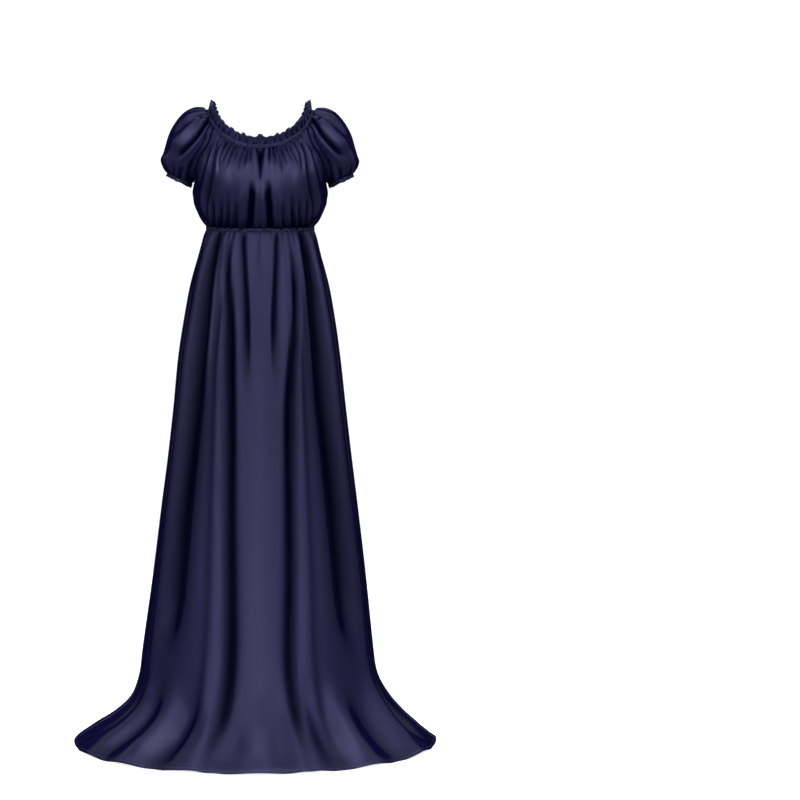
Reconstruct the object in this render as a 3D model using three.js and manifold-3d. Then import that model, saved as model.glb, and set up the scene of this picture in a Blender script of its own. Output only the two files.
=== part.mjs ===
// An empire-waist gown in its worn, hollow form: gathered scoop neckline with a
// standing ruffle over an elastic casing, short raglan puff sleeves, a front slit
// with a small knot, an elastic casing under the bust and a floor-length skirt.
// Millimetres, +Z up, the front faces -Y, the wearer's right side is at -X.
// The tables give heights above the floor that the hem touches; the whole gown is
// lowered by HOLD_HEIGHT at the end, so that the origin lies in the middle of the
// neckline at the height where it rests on the shoulders.
import * as THREE from "three";
import { mergeVertices } from "three/addons/utils/BufferGeometryUtils.js";
import Module from "manifold-3d";

// ---------------------------------------------------------------- sizes, mm
const HOLD_HEIGHT = 1440; // shoulder height, floor to neck casing
const WALL = 1.5; // cloth with its gathers
const HEM_WALL = 2.2; // cloth folded twice at the hem
const CASING_WALL = 2.0; // two layers and the elastic
const GAP = 0.3; // between two pieces at a seam
const CORNER_GAP = 0.6; // where three pieces meet
const CASING = 8; // width of each elastic casing
const RUFFLE = 22; // ruffle above the neck casing
const RUFFLE_WAVES = 40; // flutes of the ruffle all round
const RUFFLE_WAVE = 4.2; // how far a flute swings each way at its top
const RAGLAN_FRONT_AT = 0.306; // where the raglan seams leave the neck casing,
const RAGLAN_BACK_AT = 0.6; // from front centre (0) to back centre (1)
const UNDERARM = { x: 147, y: 8, z: 1283 };
const WAIST = { halfWidth: 121, halfDepth: 96, side: 1175, front: 1170, back: 1162 };
const CUFF = { x: 181, y: 4, z: 1286, halfWidth: 30, halfDepth: 45, tilt: 26 };
const SLIT_END = 0.42; // part of the front's height that the slit takes
const KNOT = { halfLength: 6.5, radius: 1.9, slant: 38, drop: 3, proud: 3.2 };

// --------------------------------------------------------------- section tables
// Neck casing, middle line, from front centre to back centre. at: part of the way;
// lean: how far the cloth's outward normal points up, degrees.
const NECK = [
  { at: 0.0, x: 0, y: -97, z: 1358, lean: 20 },
  { at: 0.075, x: 30, y: -96, z: 1361, lean: 20 },
  { at: 0.135, x: 53, y: -91, z: 1367, lean: 22 },
  { at: 0.183, x: 69, y: -84, z: 1375, lean: 25 },
  { at: 0.237, x: 85, y: -73, z: 1386, lean: 30 },
  { at: 0.306, x: 101, y: -57, z: 1402, lean: 38 },
  { at: 0.384, x: 113, y: -35, z: 1421, lean: 52 },
  { at: 0.454, x: 119, y: -12, z: 1435, lean: 66 },
  { at: 0.511, x: 120, y: 10, z: 1440, lean: 72 },
  { at: 0.573, x: 117, y: 34, z: 1434, lean: 66 },
  { at: 0.65, x: 108, y: 56, z: 1415, lean: 50 },
  { at: 0.72, x: 95, y: 70, z: 1393, lean: 36 },
  { at: 0.79, x: 78, y: 81, z: 1374, lean: 28 },
  { at: 0.855, x: 57, y: 89, z: 1361, lean: 22 },
  { at: 0.93, x: 28, y: 94, z: 1353, lean: 18 },
  { at: 1.0, x: 0, y: 95, z: 1351, lean: 18 },
];
// Raglan seams between the casing and the underarm.
const RAGLAN_FRONT = [
  { x: 116, y: -74, z: 1364 },
  { x: 130, y: -74, z: 1341 },
  { x: 142, y: -63, z: 1314 },
  { x: 148, y: -42, z: 1294 },
  { x: 150, y: -16, z: 1285 },
];
const RAGLAN_BACK = [
  { x: 130, y: 68, z: 1402 },
  { x: 145, y: 80, z: 1366 },
  { x: 149, y: 79, z: 1326 },
  { x: 151, y: 60, z: 1298 },
  { x: 150, y: 34, z: 1286 },
];
// How the cloth of half a bodice panel leaves the neck casing (A) and reaches the
// waist casing (C), from the middle of the panel (0) to its raglan and side seam
// (1). side: push away from the middle; out: push forwards on the front and
// backwards on the back; fall: downward push, as part of the height.
const FRONT_COLUMNS = [
  { at: 0.0, sideA: 0, outA: 88, fallA: 0.95, sideC: 0, outC: 128, fallC: 0.8 },
  { at: 0.25, sideA: 5, outA: 140, fallA: 0.9, sideC: 10, outC: 156, fallC: 0.75 },
  { at: 0.5, sideA: 20, outA: 190, fallA: 0.85, sideC: 30, outC: 215, fallC: 0.7 },
  { at: 0.7, sideA: 70, outA: 180, fallA: 0.85, sideC: 95, outC: 165, fallC: 0.7 },
  { at: 0.85, sideA: 115, outA: 150, fallA: 0.9, sideC: 130, outC: 95, fallC: 0.7 },
  { at: 1.0, sideA: 140, outA: 130, fallA: 1.0, sideC: 130, outC: 46, fallC: 0.7 },
];
const BACK_COLUMNS = [
  { at: 0.0, sideA: 0, outA: 50, fallA: 1.0, sideC: 0, outC: 52, fallC: 0.9 },
  { at: 0.3, sideA: 10, outA: 74, fallA: 1.0, sideC: 14, outC: 70, fallC: 0.85 },
  { at: 0.62, sideA: 40, outA: 120, fallA: 1.0, sideC: 56, outC: 120, fallC: 0.8 },
  { at: 0.85, sideA: 70, outA: 190, fallA: 1.0, sideC: 90, outC: 130, fallC: 0.75 },
  { at: 1.0, sideA: 110, outA: 260, fallA: 1.0, sideC: 130, outC: 150, fallC: 0.7 },
];
// The side seam from the underarm to the waist, and its part of the panel's side.
const SIDE_SEAM = { swell: 46, blouse: 66, fall: 1.0, land: 0.7, share: 0.36 };
// Sleeve: how the cloth leaves the armhole and reaches the cuff, round the sleeve
// from the underarm (0) over the front, the shoulder (0.47) and the back (1).
// out, fore, up: sideways, forwards and upwards; a is at the armhole, c at the cuff.
const SLEEVE_COLUMNS = [
  { at: 0.0, outA: 9, foreA: 0, upA: -8, outC: 4, foreC: 0, upC: -10 },
  { at: 0.12, outA: 48, foreA: 16, upA: -8, outC: 3, foreC: -25, upC: -40 },
  { at: 0.22, outA: 95, foreA: 42, upA: 0, outC: -10, foreC: -70, upC: -90 },
  { at: 0.36, outA: 112, foreA: 88, upA: 72, outC: -64, foreC: -95, upC: -150 },
  { at: 0.47, outA: 130, foreA: 6, upA: 140, outC: -118, foreC: 0, upC: -150 },
  { at: 0.58, outA: 112, foreA: -84, upA: 92, outC: -68, foreC: 90, upC: -155 },
  { at: 0.74, outA: 92, foreA: -50, upA: 6, outC: -12, foreC: 70, upC: -100 },
  { at: 0.88, outA: 48, foreA: -18, upA: -8, outC: 3, foreC: 25, upC: -40 },
  { at: 1.0, outA: 9, foreA: 0, upA: -8, outC: 4, foreC: 0, upC: -10 },
];
// Skirt sections: half-widths at the wearer's right and left, half-depths at the
// front and back.
const SKIRT = [
  { z: 1172, right: 121, left: 121, front: 96, back: 96 },
  { z: 1147, right: 131, left: 129, front: 104, back: 104 },
  { z: 1062, right: 152, left: 149, front: 125, back: 124 },
  { z: 969, right: 168, left: 165, front: 144, back: 143 },
  { z: 878, right: 182, left: 178, front: 160, back: 161 },
  { z: 773, right: 193, left: 190, front: 175, back: 179 },
  { z: 654, right: 207, left: 204, front: 191, back: 196 },
  { z: 554, right: 220, left: 216, front: 206, back: 212 },
  { z: 383, right: 241, left: 236, front: 233, back: 240 },
  { z: 207, right: 266, left: 256, front: 262, back: 270 },
  { z: 150, right: 272, left: 266, front: 272, back: 281 },
  { z: 100, right: 288, left: 291, front: 289, back: 298 },
  { z: 64, right: 325, left: 322, front: 314, back: 322 },
  { z: 30, right: 382, left: 362, front: 348, back: 354 },
  { z: 12, right: 413, left: 388, front: 372, back: 374 },
  { z: 2, right: 422, left: 402, front: 382, back: 384 },
];
// Rows of the faceted skirt.
const SKIRT_ROWS = [1, 0.965, 0.9, 0.8, 0.67, 0.52, 0.35, 0.175, 0.1, 0.065, 0.036, 0.014, 0];
// Largest skirt folds: angle from front centre towards the wearer's left, depth
// (a ridge is positive), half-width in degrees, and the height where it fades out.
const SKIRT_FOLDS = [
  { angle: -148, depth: -8, width: 8, top: 1120 },
  { angle: -128, depth: 7, width: 9, top: 1110 },
  { angle: -112, depth: -8, width: 7, top: 1060 },
  { angle: -92, depth: 4, width: 10, top: 1090 },
  { angle: -60, depth: 7, width: 9, top: 1120 },
  { angle: -46, depth: -12, width: 8, top: 1150 },
  { angle: -25, depth: 5, width: 7, top: 1100 },
  { angle: -17, depth: -7, width: 5.5, top: 1060 },
  { angle: 0, depth: 5, width: 11, top: 1040 },
  { angle: 17, depth: -7, width: 5.5, top: 1060 },
  { angle: 25, depth: 5, width: 7, top: 1100 },
  { angle: 47, depth: -12, width: 8, top: 1150 },
  { angle: 60, depth: 7, width: 9, top: 1120 },
  { angle: 90, depth: 4, width: 10, top: 1090 },
  { angle: 110, depth: -9, width: 8, top: 1060 },
  { angle: 129, depth: 7, width: 8, top: 1110 },
  { angle: 149, depth: -8, width: 8, top: 1120 },
  { angle: 168, depth: 5, width: 9, top: 1100 },
  { angle: -167, depth: 6, width: 9, top: 1100 },
  { angle: 180, depth: -4, width: 6, top: 1080 },
];
// Largest folds of the panels: at runs as in the column tables (bodice 0 middle to
// 1 side, sleeve 0 to 1 round); they run between two parts of the height.
const FRONT_FOLDS = [
  { at: 0.1, depth: 3, width: 0.06, from: 0.0, to: 0.75 },
  { at: 0.2, depth: -5, width: 0.06, from: 0.45, to: 1.0 },
  { at: 0.36, depth: 3, width: 0.07, from: 0.0, to: 0.5 },
  { at: 0.52, depth: -3, width: 0.05, from: 0.5, to: 1.0 },
  { at: 0.66, depth: -4, width: 0.06, from: 0.05, to: 0.9 },
  { at: 0.8, depth: 3, width: 0.06, from: 0.1, to: 1.0 },
];
const BACK_FOLDS = [
  { at: 0.0, depth: -4, width: 0.06, from: 0.0, to: 1.0 },
  { at: 0.1, depth: 4, width: 0.05, from: 0.0, to: 0.9 },
  { at: 0.22, depth: -4, width: 0.05, from: 0.0, to: 0.9 },
  { at: 0.34, depth: 4, width: 0.06, from: 0.0, to: 1.0 },
  { at: 0.5, depth: -3, width: 0.05, from: 0.1, to: 1.0 },
  { at: 0.66, depth: 3, width: 0.06, from: 0.0, to: 1.0 },
];
const SLEEVE_FOLDS = [
  { at: 0.405, depth: -6, width: 0.028, from: 0.0, to: 0.85 },
  { at: 0.45, depth: 5, width: 0.03, from: 0.0, to: 0.8 },
  { at: 0.36, depth: 4, width: 0.03, from: 0.1, to: 0.9 },
  { at: 0.31, depth: -4, width: 0.03, from: 0.05, to: 0.7 },
  { at: 0.62, depth: -6, width: 0.03, from: 0.0, to: 0.7 },
  { at: 0.67, depth: 5, width: 0.035, from: 0.0, to: 0.8 },
];
// Slit: half its width at parts of its length.
const SLIT = [
  { at: 0.0, half: 8.6 },
  { at: 0.16, half: 5.6 },
  { at: 0.34, half: 3.2 },
  { at: 0.55, half: 1.9 },
  { at: 0.8, half: 1.1 },
  { at: 1.0, half: 0.0 },
];

// ---------------------------------------------------------------- facet counts
const NECK_FRONT_STEPS = 12; // half the front, along the casing
const NECK_SLEEVE_STEPS = 10;
const NECK_BACK_STEPS = 13;
const RAGLAN_STEPS = 7; // each raglan seam
const SIDE_STEPS = 4; // side seam
const SLEEVE_ROWS = 7;
const SKIRT_STEPS = 26; // each panel
const WAIST_STEPS = 60;
const RUFFLE_STEPS = RUFFLE_WAVES * 4;

// -------------------------------------------------------------------- helpers
const V = (x, y, z) => new THREE.Vector3(x, y, z);
const rad = THREE.MathUtils.degToRad;
const mirror = (v) => V(-v.x, v.y, v.z);

// Smooth value of every column of a table at key = x.
function smooth(rows, key, x) {
  const n = rows.length;
  const rising = rows[n - 1][key] > rows[0][key];
  let i = 0;
  while (i < n - 2 && (rising ? x > rows[i + 1][key] : x < rows[i + 1][key])) i++;
  const a = rows[i],
    b = rows[i + 1],
    h = b[key] - a[key],
    t = THREE.MathUtils.clamp((x - a[key]) / h, 0, 1),
    before = rows[i - 1],
    after = rows[i + 2],
    out = {};
  for (const c in a) {
    const d = (b[c] - a[c]) / h;
    const d0 = before ? (b[c] - before[c]) / (b[key] - before[key]) : d;
    const d1 = after ? (after[c] - a[c]) / (after[key] - a[key]) : d;
    const t2 = t * t,
      t3 = t2 * t;
    out[c] =
      (2 * t3 - 3 * t2 + 1) * a[c] +
      (t3 - 2 * t2 + t) * h * d0 +
      (3 * t2 - 2 * t3) * b[c] +
      (t3 - t2) * h * d1;
  }
  return out;
}
const ease = (a, b, x) => THREE.MathUtils.smoothstep(x, a, b);

// Point of a curve from a to c that leaves with push m0 and arrives with push m1.
function hermite(a, m0, c, m1, t) {
  const t2 = t * t,
    t3 = t2 * t;
  return V(0, 0, 0)
    .addScaledVector(a, 2 * t3 - 3 * t2 + 1)
    .addScaledVector(m0, t3 - 2 * t2 + t)
    .addScaledVector(c, 3 * t2 - 2 * t3)
    .addScaledVector(m1, t3 - t2);
}

// Outward normal of a surface f(u, v), pointing to the same side as the hint.
function normalOf(f, u, v, hint, eu = 2e-3, ev = 2e-3) {
  const du = f(u + eu, v).sub(f(u - eu, v));
  const dv = f(u, v + ev).sub(f(u, v - ev));
  const n = du.cross(dv).normalize();
  return n.dot(hint) < 0 ? n.negate() : n;
}

// Point of a surface f(u, v) on its edge v = at, moved into the cloth by some distance,
// square to the edge.
function inset(f, u, at, by, eu = 4e-3) {
  const p = f(u, at);
  const edge = f(u + eu, at).sub(f(u - eu, at)).normalize();
  const way = f(u, at < 0.5 ? at + 0.02 : at - 0.02).sub(p);
  way.addScaledVector(edge, -way.dot(edge)).normalize();
  return p.addScaledVector(way, by);
}

// Point of a surface f(u, v) on a corner, moved into the cloth away from both edges.
function insetCorner(f, u, v, by) {
  const p = f(u, v);
  const along = f(u < 0.5 ? u + 0.03 : u - 0.03, v).sub(p).normalize();
  const across = f(u, v < 0.5 ? v + 0.03 : v - 0.03).sub(p).normalize();
  return p.addScaledVector(along.add(across).normalize(), by);
}

// Shared thickness direction of two walls that meet: half the wall on each side
// reaches their mitre.
function mitre(a, b) {
  const m = a.clone().add(b);
  const k = Math.max(1 + a.dot(b), 0.35);
  m.divideScalar(k);
  return m.clampLength(0.6, 1.6);
}

// A fold table's push at one place. span: how the place is measured.
function foldPush(folds, at, v) {
  let sum = 0;
  for (const f of folds) {
    const d = (at - f.at) / f.width;
    const edge = 0.18;
    const along = ease(f.from - 0.001, f.from + edge, v) * (1 - ease(f.to - edge, f.to, v));
    sum += f.depth * Math.exp(-d * d) * along;
  }
  return sum;
}

// ------------------------------------------------------------------- neckline
// One closed loop of table rows, from back centre over the right side, front
// centre and the left side: q runs from -1 to 1.
const NECK_LOOP = [
  ...NECK.slice(1, -1).map((r) => ({ ...r, at: -r.at, x: -r.x })).reverse(),
  ...NECK,
];
NECK_LOOP.unshift({ ...NECK[15], at: -1 });
NECK_LOOP.unshift({ ...NECK[14], at: -1 - (1 - NECK[14].at), x: NECK[14].x });
NECK_LOOP.push({ ...NECK[14], at: 1 + (1 - NECK[14].at), x: -NECK[14].x });
const neckRow = (q) => smooth(NECK_LOOP, "at", q);
const neckPoint = (q) => {
  const r = neckRow(q);
  return V(r.x, r.y, r.z);
};
// Frame on the casing: n outward, a across the casing away from the neck.
function neckFrame(q) {
  const e = 1e-3;
  const along = neckPoint(q + e).sub(neckPoint(q - e)).normalize();
  const r = neckRow(q);
  const lean = rad(r.lean);
  const n = V(r.x, r.y * 1.1, 0).normalize().multiplyScalar(Math.cos(lean));
  n.z = Math.sin(lean);
  n.addScaledVector(along, -n.dot(along)).normalize();
  const a = along.clone().cross(n);
  if (a.z > 0 || (Math.abs(a.z) < 0.2 && a.x * r.x < 0)) a.negate();
  return { p: V(r.x, r.y, r.z), along, n, a };
}
const neckEdge = (q, side) => {
  const f = neckFrame(q);
  return f.p.addScaledVector(f.a, side);
};
const neckLower = (q) => neckEdge(q, CASING / 2);

// --------------------------------------------------------------- raglan seams
function seamCurve(start, table) {
  const pts = [start, ...table.map((r) => V(r.x, r.y, r.z)), V(UNDERARM.x, UNDERARM.y, UNDERARM.z)];
  return new THREE.CatmullRomCurve3(pts, false, "centripetal");
}
const raglanFront = seamCurve(neckLower(RAGLAN_FRONT_AT), RAGLAN_FRONT);
const raglanBack = seamCurve(neckLower(RAGLAN_BACK_AT), RAGLAN_BACK);

// ---------------------------------------------------------------------- waist
function waistPoint(angle, up = 0) {
  const c = Math.cos(angle),
    s = Math.sin(angle);
  const z = WAIST.side + (c > 0 ? WAIST.front - WAIST.side : WAIST.back - WAIST.side) * c * c;
  return V(WAIST.halfWidth * s, -WAIST.halfDepth * c, z + up);
}
const waistNormal = (angle) =>
  V(Math.sin(angle) / WAIST.halfWidth, -Math.cos(angle) / WAIST.halfDepth, 0).normalize();

// ------------------------------------------------------------- bodice surfaces
// The left side line of a panel: raglan seam, then side seam.
function sideLine(front, v) {
  const raglan = 1 - SIDE_SEAM.share;
  if (v <= raglan) return (front ? raglanFront : raglanBack).getPoint(v / raglan);
  const low = waistPoint(Math.PI / 2, CASING / 2);
  const drop = UNDERARM.z - low.z;
  return hermite(
    V(UNDERARM.x, UNDERARM.y, UNDERARM.z),
    V(SIDE_SEAM.swell, 0, -drop * SIDE_SEAM.fall),
    low,
    V(-SIDE_SEAM.blouse, 0, -drop * SIDE_SEAM.land),
    (v - raglan) / SIDE_SEAM.share,
  );
}
// Where the cloth would fall with no seam at its side.
function drape(front, a, v) {
  const top = neckLower(front ? a * RAGLAN_FRONT_AT : 1 - a * (1 - RAGLAN_BACK_AT));
  const angle = front ? (a * Math.PI) / 2 : Math.PI - (a * Math.PI) / 2;
  const low = waistPoint(angle, CASING / 2);
  const c = smooth(front ? FRONT_COLUMNS : BACK_COLUMNS, "at", a);
  const drop = top.z - low.z;
  const out = front ? -1 : 1;
  return hermite(
    top,
    V(c.sideA, out * c.outA, -drop * c.fallA),
    low,
    V(-c.sideC, -out * c.outC, -drop * c.fallC),
    v,
  );
}
// s runs from the right side (-1) to the left (1); v from the neck casing (0) to the
// waist casing (1).
function bodice(front, s, v, folded = true) {
  const a = Math.min(Math.abs(s), 1);
  const p = drape(front, a, v);
  p.addScaledVector(sideLine(front, v).sub(drape(front, 1, v)), a ** 3);
  if (folded) {
    const angle = front ? (a * Math.PI) / 2 : Math.PI - (a * Math.PI) / 2;
    const push = foldPush(front ? FRONT_FOLDS : BACK_FOLDS, a, v) * (1 - a ** 6);
    p.addScaledVector(waistNormal(angle), push);
  }
  return s < 0 ? mirror(p) : p;
}

// ------------------------------------------------------------- sleeve surface
// The left sleeve; f runs round it and w from the armhole (0) to the cuff (1).
const ARMHOLE_FRONT = 0.36,
  ARMHOLE_BACK = 0.58;
function armhole(f) {
  if (f <= ARMHOLE_FRONT) return raglanFront.getPoint(1 - f / ARMHOLE_FRONT);
  if (f >= ARMHOLE_BACK) return raglanBack.getPoint((f - ARMHOLE_BACK) / (1 - ARMHOLE_BACK));
  const k = (f - ARMHOLE_FRONT) / (ARMHOLE_BACK - ARMHOLE_FRONT);
  return neckLower(RAGLAN_FRONT_AT + k * (RAGLAN_BACK_AT - RAGLAN_FRONT_AT));
}
const CUFF_OUT = V(Math.cos(rad(CUFF.tilt)), 0, Math.sin(rad(CUFF.tilt)));
const CUFF_DOWN = V(Math.sin(rad(CUFF.tilt)), 0, -Math.cos(rad(CUFF.tilt)));
function cuffAngle(f) {
  return f < 0.47 ? (Math.PI * f) / 0.47 : Math.PI + (Math.PI * (f - 0.47)) / 0.53;
}
function cuffPoint(f, down = 0) {
  const a = cuffAngle(f);
  return V(CUFF.x, CUFF.y, CUFF.z)
    .addScaledVector(CUFF_OUT, -Math.cos(a) * CUFF.halfWidth)
    .add(V(0, -Math.sin(a) * CUFF.halfDepth, 0))
    .addScaledVector(CUFF_DOWN, down);
}
const cuffNormal = (f) => {
  const a = cuffAngle(f);
  return CUFF_OUT.clone()
    .multiplyScalar(-Math.cos(a) / CUFF.halfWidth)
    .add(V(0, -Math.sin(a) / CUFF.halfDepth, 0))
    .normalize();
};
function sleeve(f, w, folded = true) {
  f = ((f % 1) + 1) % 1;
  const c = smooth(SLEEVE_COLUMNS, "at", f);
  const p = hermite(
    armhole(f),
    V(c.outA, -c.foreA, c.upA),
    cuffPoint(f),
    V(c.outC, -c.foreC, c.upC),
    w,
  );
  if (folded) {
    const middle = V(CUFF.x - 20 * (1 - w), CUFF.y, CUFF.z + 70 * (1 - w));
    p.addScaledVector(p.clone().sub(middle).normalize(), foldPush(SLEEVE_FOLDS, f, w));
  }
  return p;
}

// ---------------------------------------------------------------- skirt surface
function skirt(angle, h) {
  // h: 1 at the waist casing, 0 at the hem.
  const top = waistPoint(angle, -CASING / 2);
  const hem = SKIRT[SKIRT.length - 1].z;
  const z = hem + (top.z - hem) * h;
  const r = smooth(SKIRT, "z", Math.min(z, SKIRT[0].z));
  const s = Math.sin(angle),
    c = Math.cos(angle);
  const p = V((s < 0 ? r.right : r.left) * s, -(c > 0 ? r.front : r.back) * c, z);
  const deg = THREE.MathUtils.radToDeg(angle);
  let push = 0;
  for (const f of SKIRT_FOLDS) {
    let d = deg - f.angle;
    d -= 360 * Math.round(d / 360);
    d /= f.width;
    push += f.depth * Math.exp(-d * d) * (1 - ease(f.top - 260, f.top, z));
  }
  push *= 0.35 + 0.65 * ease(0, 110, z);
  const out = V(p.x, p.y, 0).normalize();
  p.addScaledVector(out, push);
  const join = ease(0.985, 1, h);
  return p.lerp(V(top.x, top.y, z), join);
}

// ----------------------------------------------------------------- wall builder
// Turns a mesh of four-sided cells on one surface into a closed wall. Each point
// has p, the place, n, the thickness direction, and t, the thickness.
function wallOf(points, cells) {
  const count = points.length;
  const verts = [];
  for (const side of [0.5, -0.5])
    for (const q of points)
      verts.push(q.p.clone().addScaledVector(q.n, side * (q.t ?? WALL)));
  const faces = [];
  const edges = new Map();
  for (const [a, b, c, d] of cells) {
    const first = verts[a].distanceTo(verts[c]) <= verts[b].distanceTo(verts[d]);
    const tris = first ? [[a, b, c], [a, c, d]] : [[a, b, d], [b, c, d]];
    for (const [x, y, z] of tris) {
      faces.push([x, y, z], [x + count, z + count, y + count]);
    }
    for (const [x, y] of [[a, b], [b, c], [c, d], [d, a]]) {
      if (edges.has(y + "," + x)) edges.delete(y + "," + x);
      else edges.set(x + "," + y, [x, y]);
    }
  }
  for (const [x, y] of edges.values())
    faces.push([y, x, x + count], [y, x + count, y + count]);
  let volume = 0;
  for (const [x, y, z] of faces) volume += verts[x].dot(verts[y].clone().cross(verts[z]));
  if (volume < 0) for (const f of faces) [f[1], f[2]] = [f[2], f[1]];
  const g = new THREE.BufferGeometry();
  g.setAttribute(
    "position",
    new THREE.Float32BufferAttribute(verts.flatMap((v) => [v.x, v.y, v.z]), 3),
  );
  g.setIndex(faces.flat());
  g.computeVertexNormals();
  return g;
}

// Grid of rows and columns; round: the last column joins the first.
function gridWall(rows, round = false) {
  const nr = rows.length,
    nc = rows[0].length;
  const cells = [];
  for (let i = 0; i < nr - 1; i++)
    for (let j = 0; j < (round ? nc : nc - 1); j++) {
      const k = (j + 1) % nc;
      cells.push([i * nc + j, i * nc + k, (i + 1) * nc + k, (i + 1) * nc + j]);
    }
  return wallOf(rows.flat(), cells);
}
const steps = (n, a = 0, b = 1) => Array.from({ length: n + 1 }, (_, i) => a + ((b - a) * i) / n);

// --------------------------------------------------------------- seam normals
const bodiceHint = (p) => V(p.x, p.y, 30);
const bodiceNormal = (front, s, v) => {
  const a = Math.abs(s);
  const p = bodice(front, a, v, false);
  const n = normalOf(
    (u, w) => bodice(front, Math.min(u, 1), w, false),
    Math.min(Math.max(a, 0.003), 0.997),
    Math.max(v, 0.003),
    bodiceHint(p),
  );
  if (a < 1e-6) n.x = 0;
  return s < 0 ? mirror(n) : n;
};
function sleeveNormal(f, w) {
  const p = sleeve(f, w, false);
  const middle = V(CUFF.x - 20 * (1 - w), CUFF.y, CUFF.z + 70 * (1 - w));
  const g = Math.min(Math.max(f, 0.004), 0.996);
  return normalOf((u, t) => sleeve(u, t, false), g, Math.max(w, 0.003), p.sub(middle));
}
const UNDERARM_NORMAL = V(0.25, 0, -0.97).normalize();
// Thickness direction on the left raglan seam, k from the casing (0) to the
// underarm (1).
function raglanNormal(front, k) {
  if (k > 0.999) return UNDERARM_NORMAL.clone();
  const g = Math.max(k, 0.03);
  const body = bodiceNormal(front, 1, g * (1 - SIDE_SEAM.share));
  const f = front ? ARMHOLE_FRONT * (1 - g) : ARMHOLE_BACK + (1 - ARMHOLE_BACK) * g;
  const m = mitre(body, sleeveNormal(f, 0.004));
  if (k > 0.03) return m;
  return mitre(m.normalize(), neckFrame(front ? RAGLAN_FRONT_AT : RAGLAN_BACK_AT).n);
}
function neckSeamNormal(q) {
  // Lower edge of the casing, left half.
  const n = neckFrame(q).n;
  if (Math.abs(q - RAGLAN_FRONT_AT) < 1e-6) return raglanNormal(true, 0);
  if (Math.abs(q - RAGLAN_BACK_AT) < 1e-6) return raglanNormal(false, 0);
  let cloth;
  if (q < RAGLAN_FRONT_AT) cloth = bodiceNormal(true, q / RAGLAN_FRONT_AT, 0.004);
  else if (q > RAGLAN_BACK_AT)
    cloth = bodiceNormal(false, (1 - q) / (1 - RAGLAN_BACK_AT), 0.004);
  else {
    const k = (q - RAGLAN_FRONT_AT) / (RAGLAN_BACK_AT - RAGLAN_FRONT_AT);
    cloth = sleeveNormal(ARMHOLE_FRONT + k * (ARMHOLE_BACK - ARMHOLE_FRONT), 0.004);
  }
  return mitre(n, cloth);
}

// -------------------------------------------------------------------- casings
const neckStops = [
  ...steps(NECK_FRONT_STEPS, 0, RAGLAN_FRONT_AT).slice(0, -1),
  ...steps(NECK_SLEEVE_STEPS, RAGLAN_FRONT_AT, RAGLAN_BACK_AT).slice(0, -1),
  ...steps(NECK_BACK_STEPS, RAGLAN_BACK_AT, 1),
];
const neckRound = [
  ...neckStops,
  ...neckStops.slice(1, -1).map((q) => -q).reverse(),
];
const ruffleWay = (fr) => fr.a.clone().multiplyScalar(-0.6).add(V(0, 0, 0.8)).normalize();
function ruffleNormal(q, fr = neckFrame(q)) {
  const n = ruffleWay(fr).cross(fr.along).normalize();
  return n.dot(fr.n) < 0 ? n.negate() : n;
}

function neckCasing() {
  const top = [],
    low = [];
  for (const q of neckRound) {
    const fr = neckFrame(q);
    const seam = q < 0 ? mirror(neckSeamNormal(-q)) : neckSeamNormal(q);
    const raglan = [RAGLAN_FRONT_AT, RAGLAN_BACK_AT].some((k) => Math.abs(Math.abs(q) - k) < 1e-6);
    top.push({
      p: fr.p.clone().addScaledVector(fr.a, -CASING / 2 + GAP / 2),
      n: mitre(fr.n, ruffleNormal(q, fr)),
      t: CASING_WALL,
    });
    low.push({
      p: fr.p.clone().addScaledVector(fr.a, CASING / 2 - (raglan ? CORNER_GAP : GAP) / 2),
      n: seam,
      t: WALL,
    });
  }
  return gridWall([top, low], true);
}

function neckRuffle() {
  const foot = [],
    tip = [];
  for (let i = 0; i < RUFFLE_STEPS; i++) {
    const q = -1 + (2 * i) / RUFFLE_STEPS;
    const fr = neckFrame(q);
    const way = ruffleWay(fr);
    const n = ruffleNormal(q, fr);
    const wave = Math.sin((2 * Math.PI * RUFFLE_WAVES * i) / RUFFLE_STEPS);
    const start = fr.p.clone().addScaledVector(fr.a, -CASING / 2 - GAP);
    foot.push({ p: start, n: mitre(fr.n, n), t: WALL });
    tip.push({
      p: start
        .clone()
        .addScaledVector(way, RUFFLE - 1.2 * (1 - wave))
        .addScaledVector(n, RUFFLE_WAVE * wave),
      n: n.clone(),
      t: WALL,
    });
  }
  return gridWall([foot, tip], true);
}

function waistCasing() {
  const rows = [CASING / 2 - GAP / 2, -CASING / 2 + GAP / 2].map((up) =>
    steps(WAIST_STEPS, 0, 2 * Math.PI)
      .slice(0, -1)
      .map((a) => ({ p: waistPoint(a, up), n: waistNormal(a), t: CASING_WALL })),
  );
  return gridWall(rows, true);
}

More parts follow.
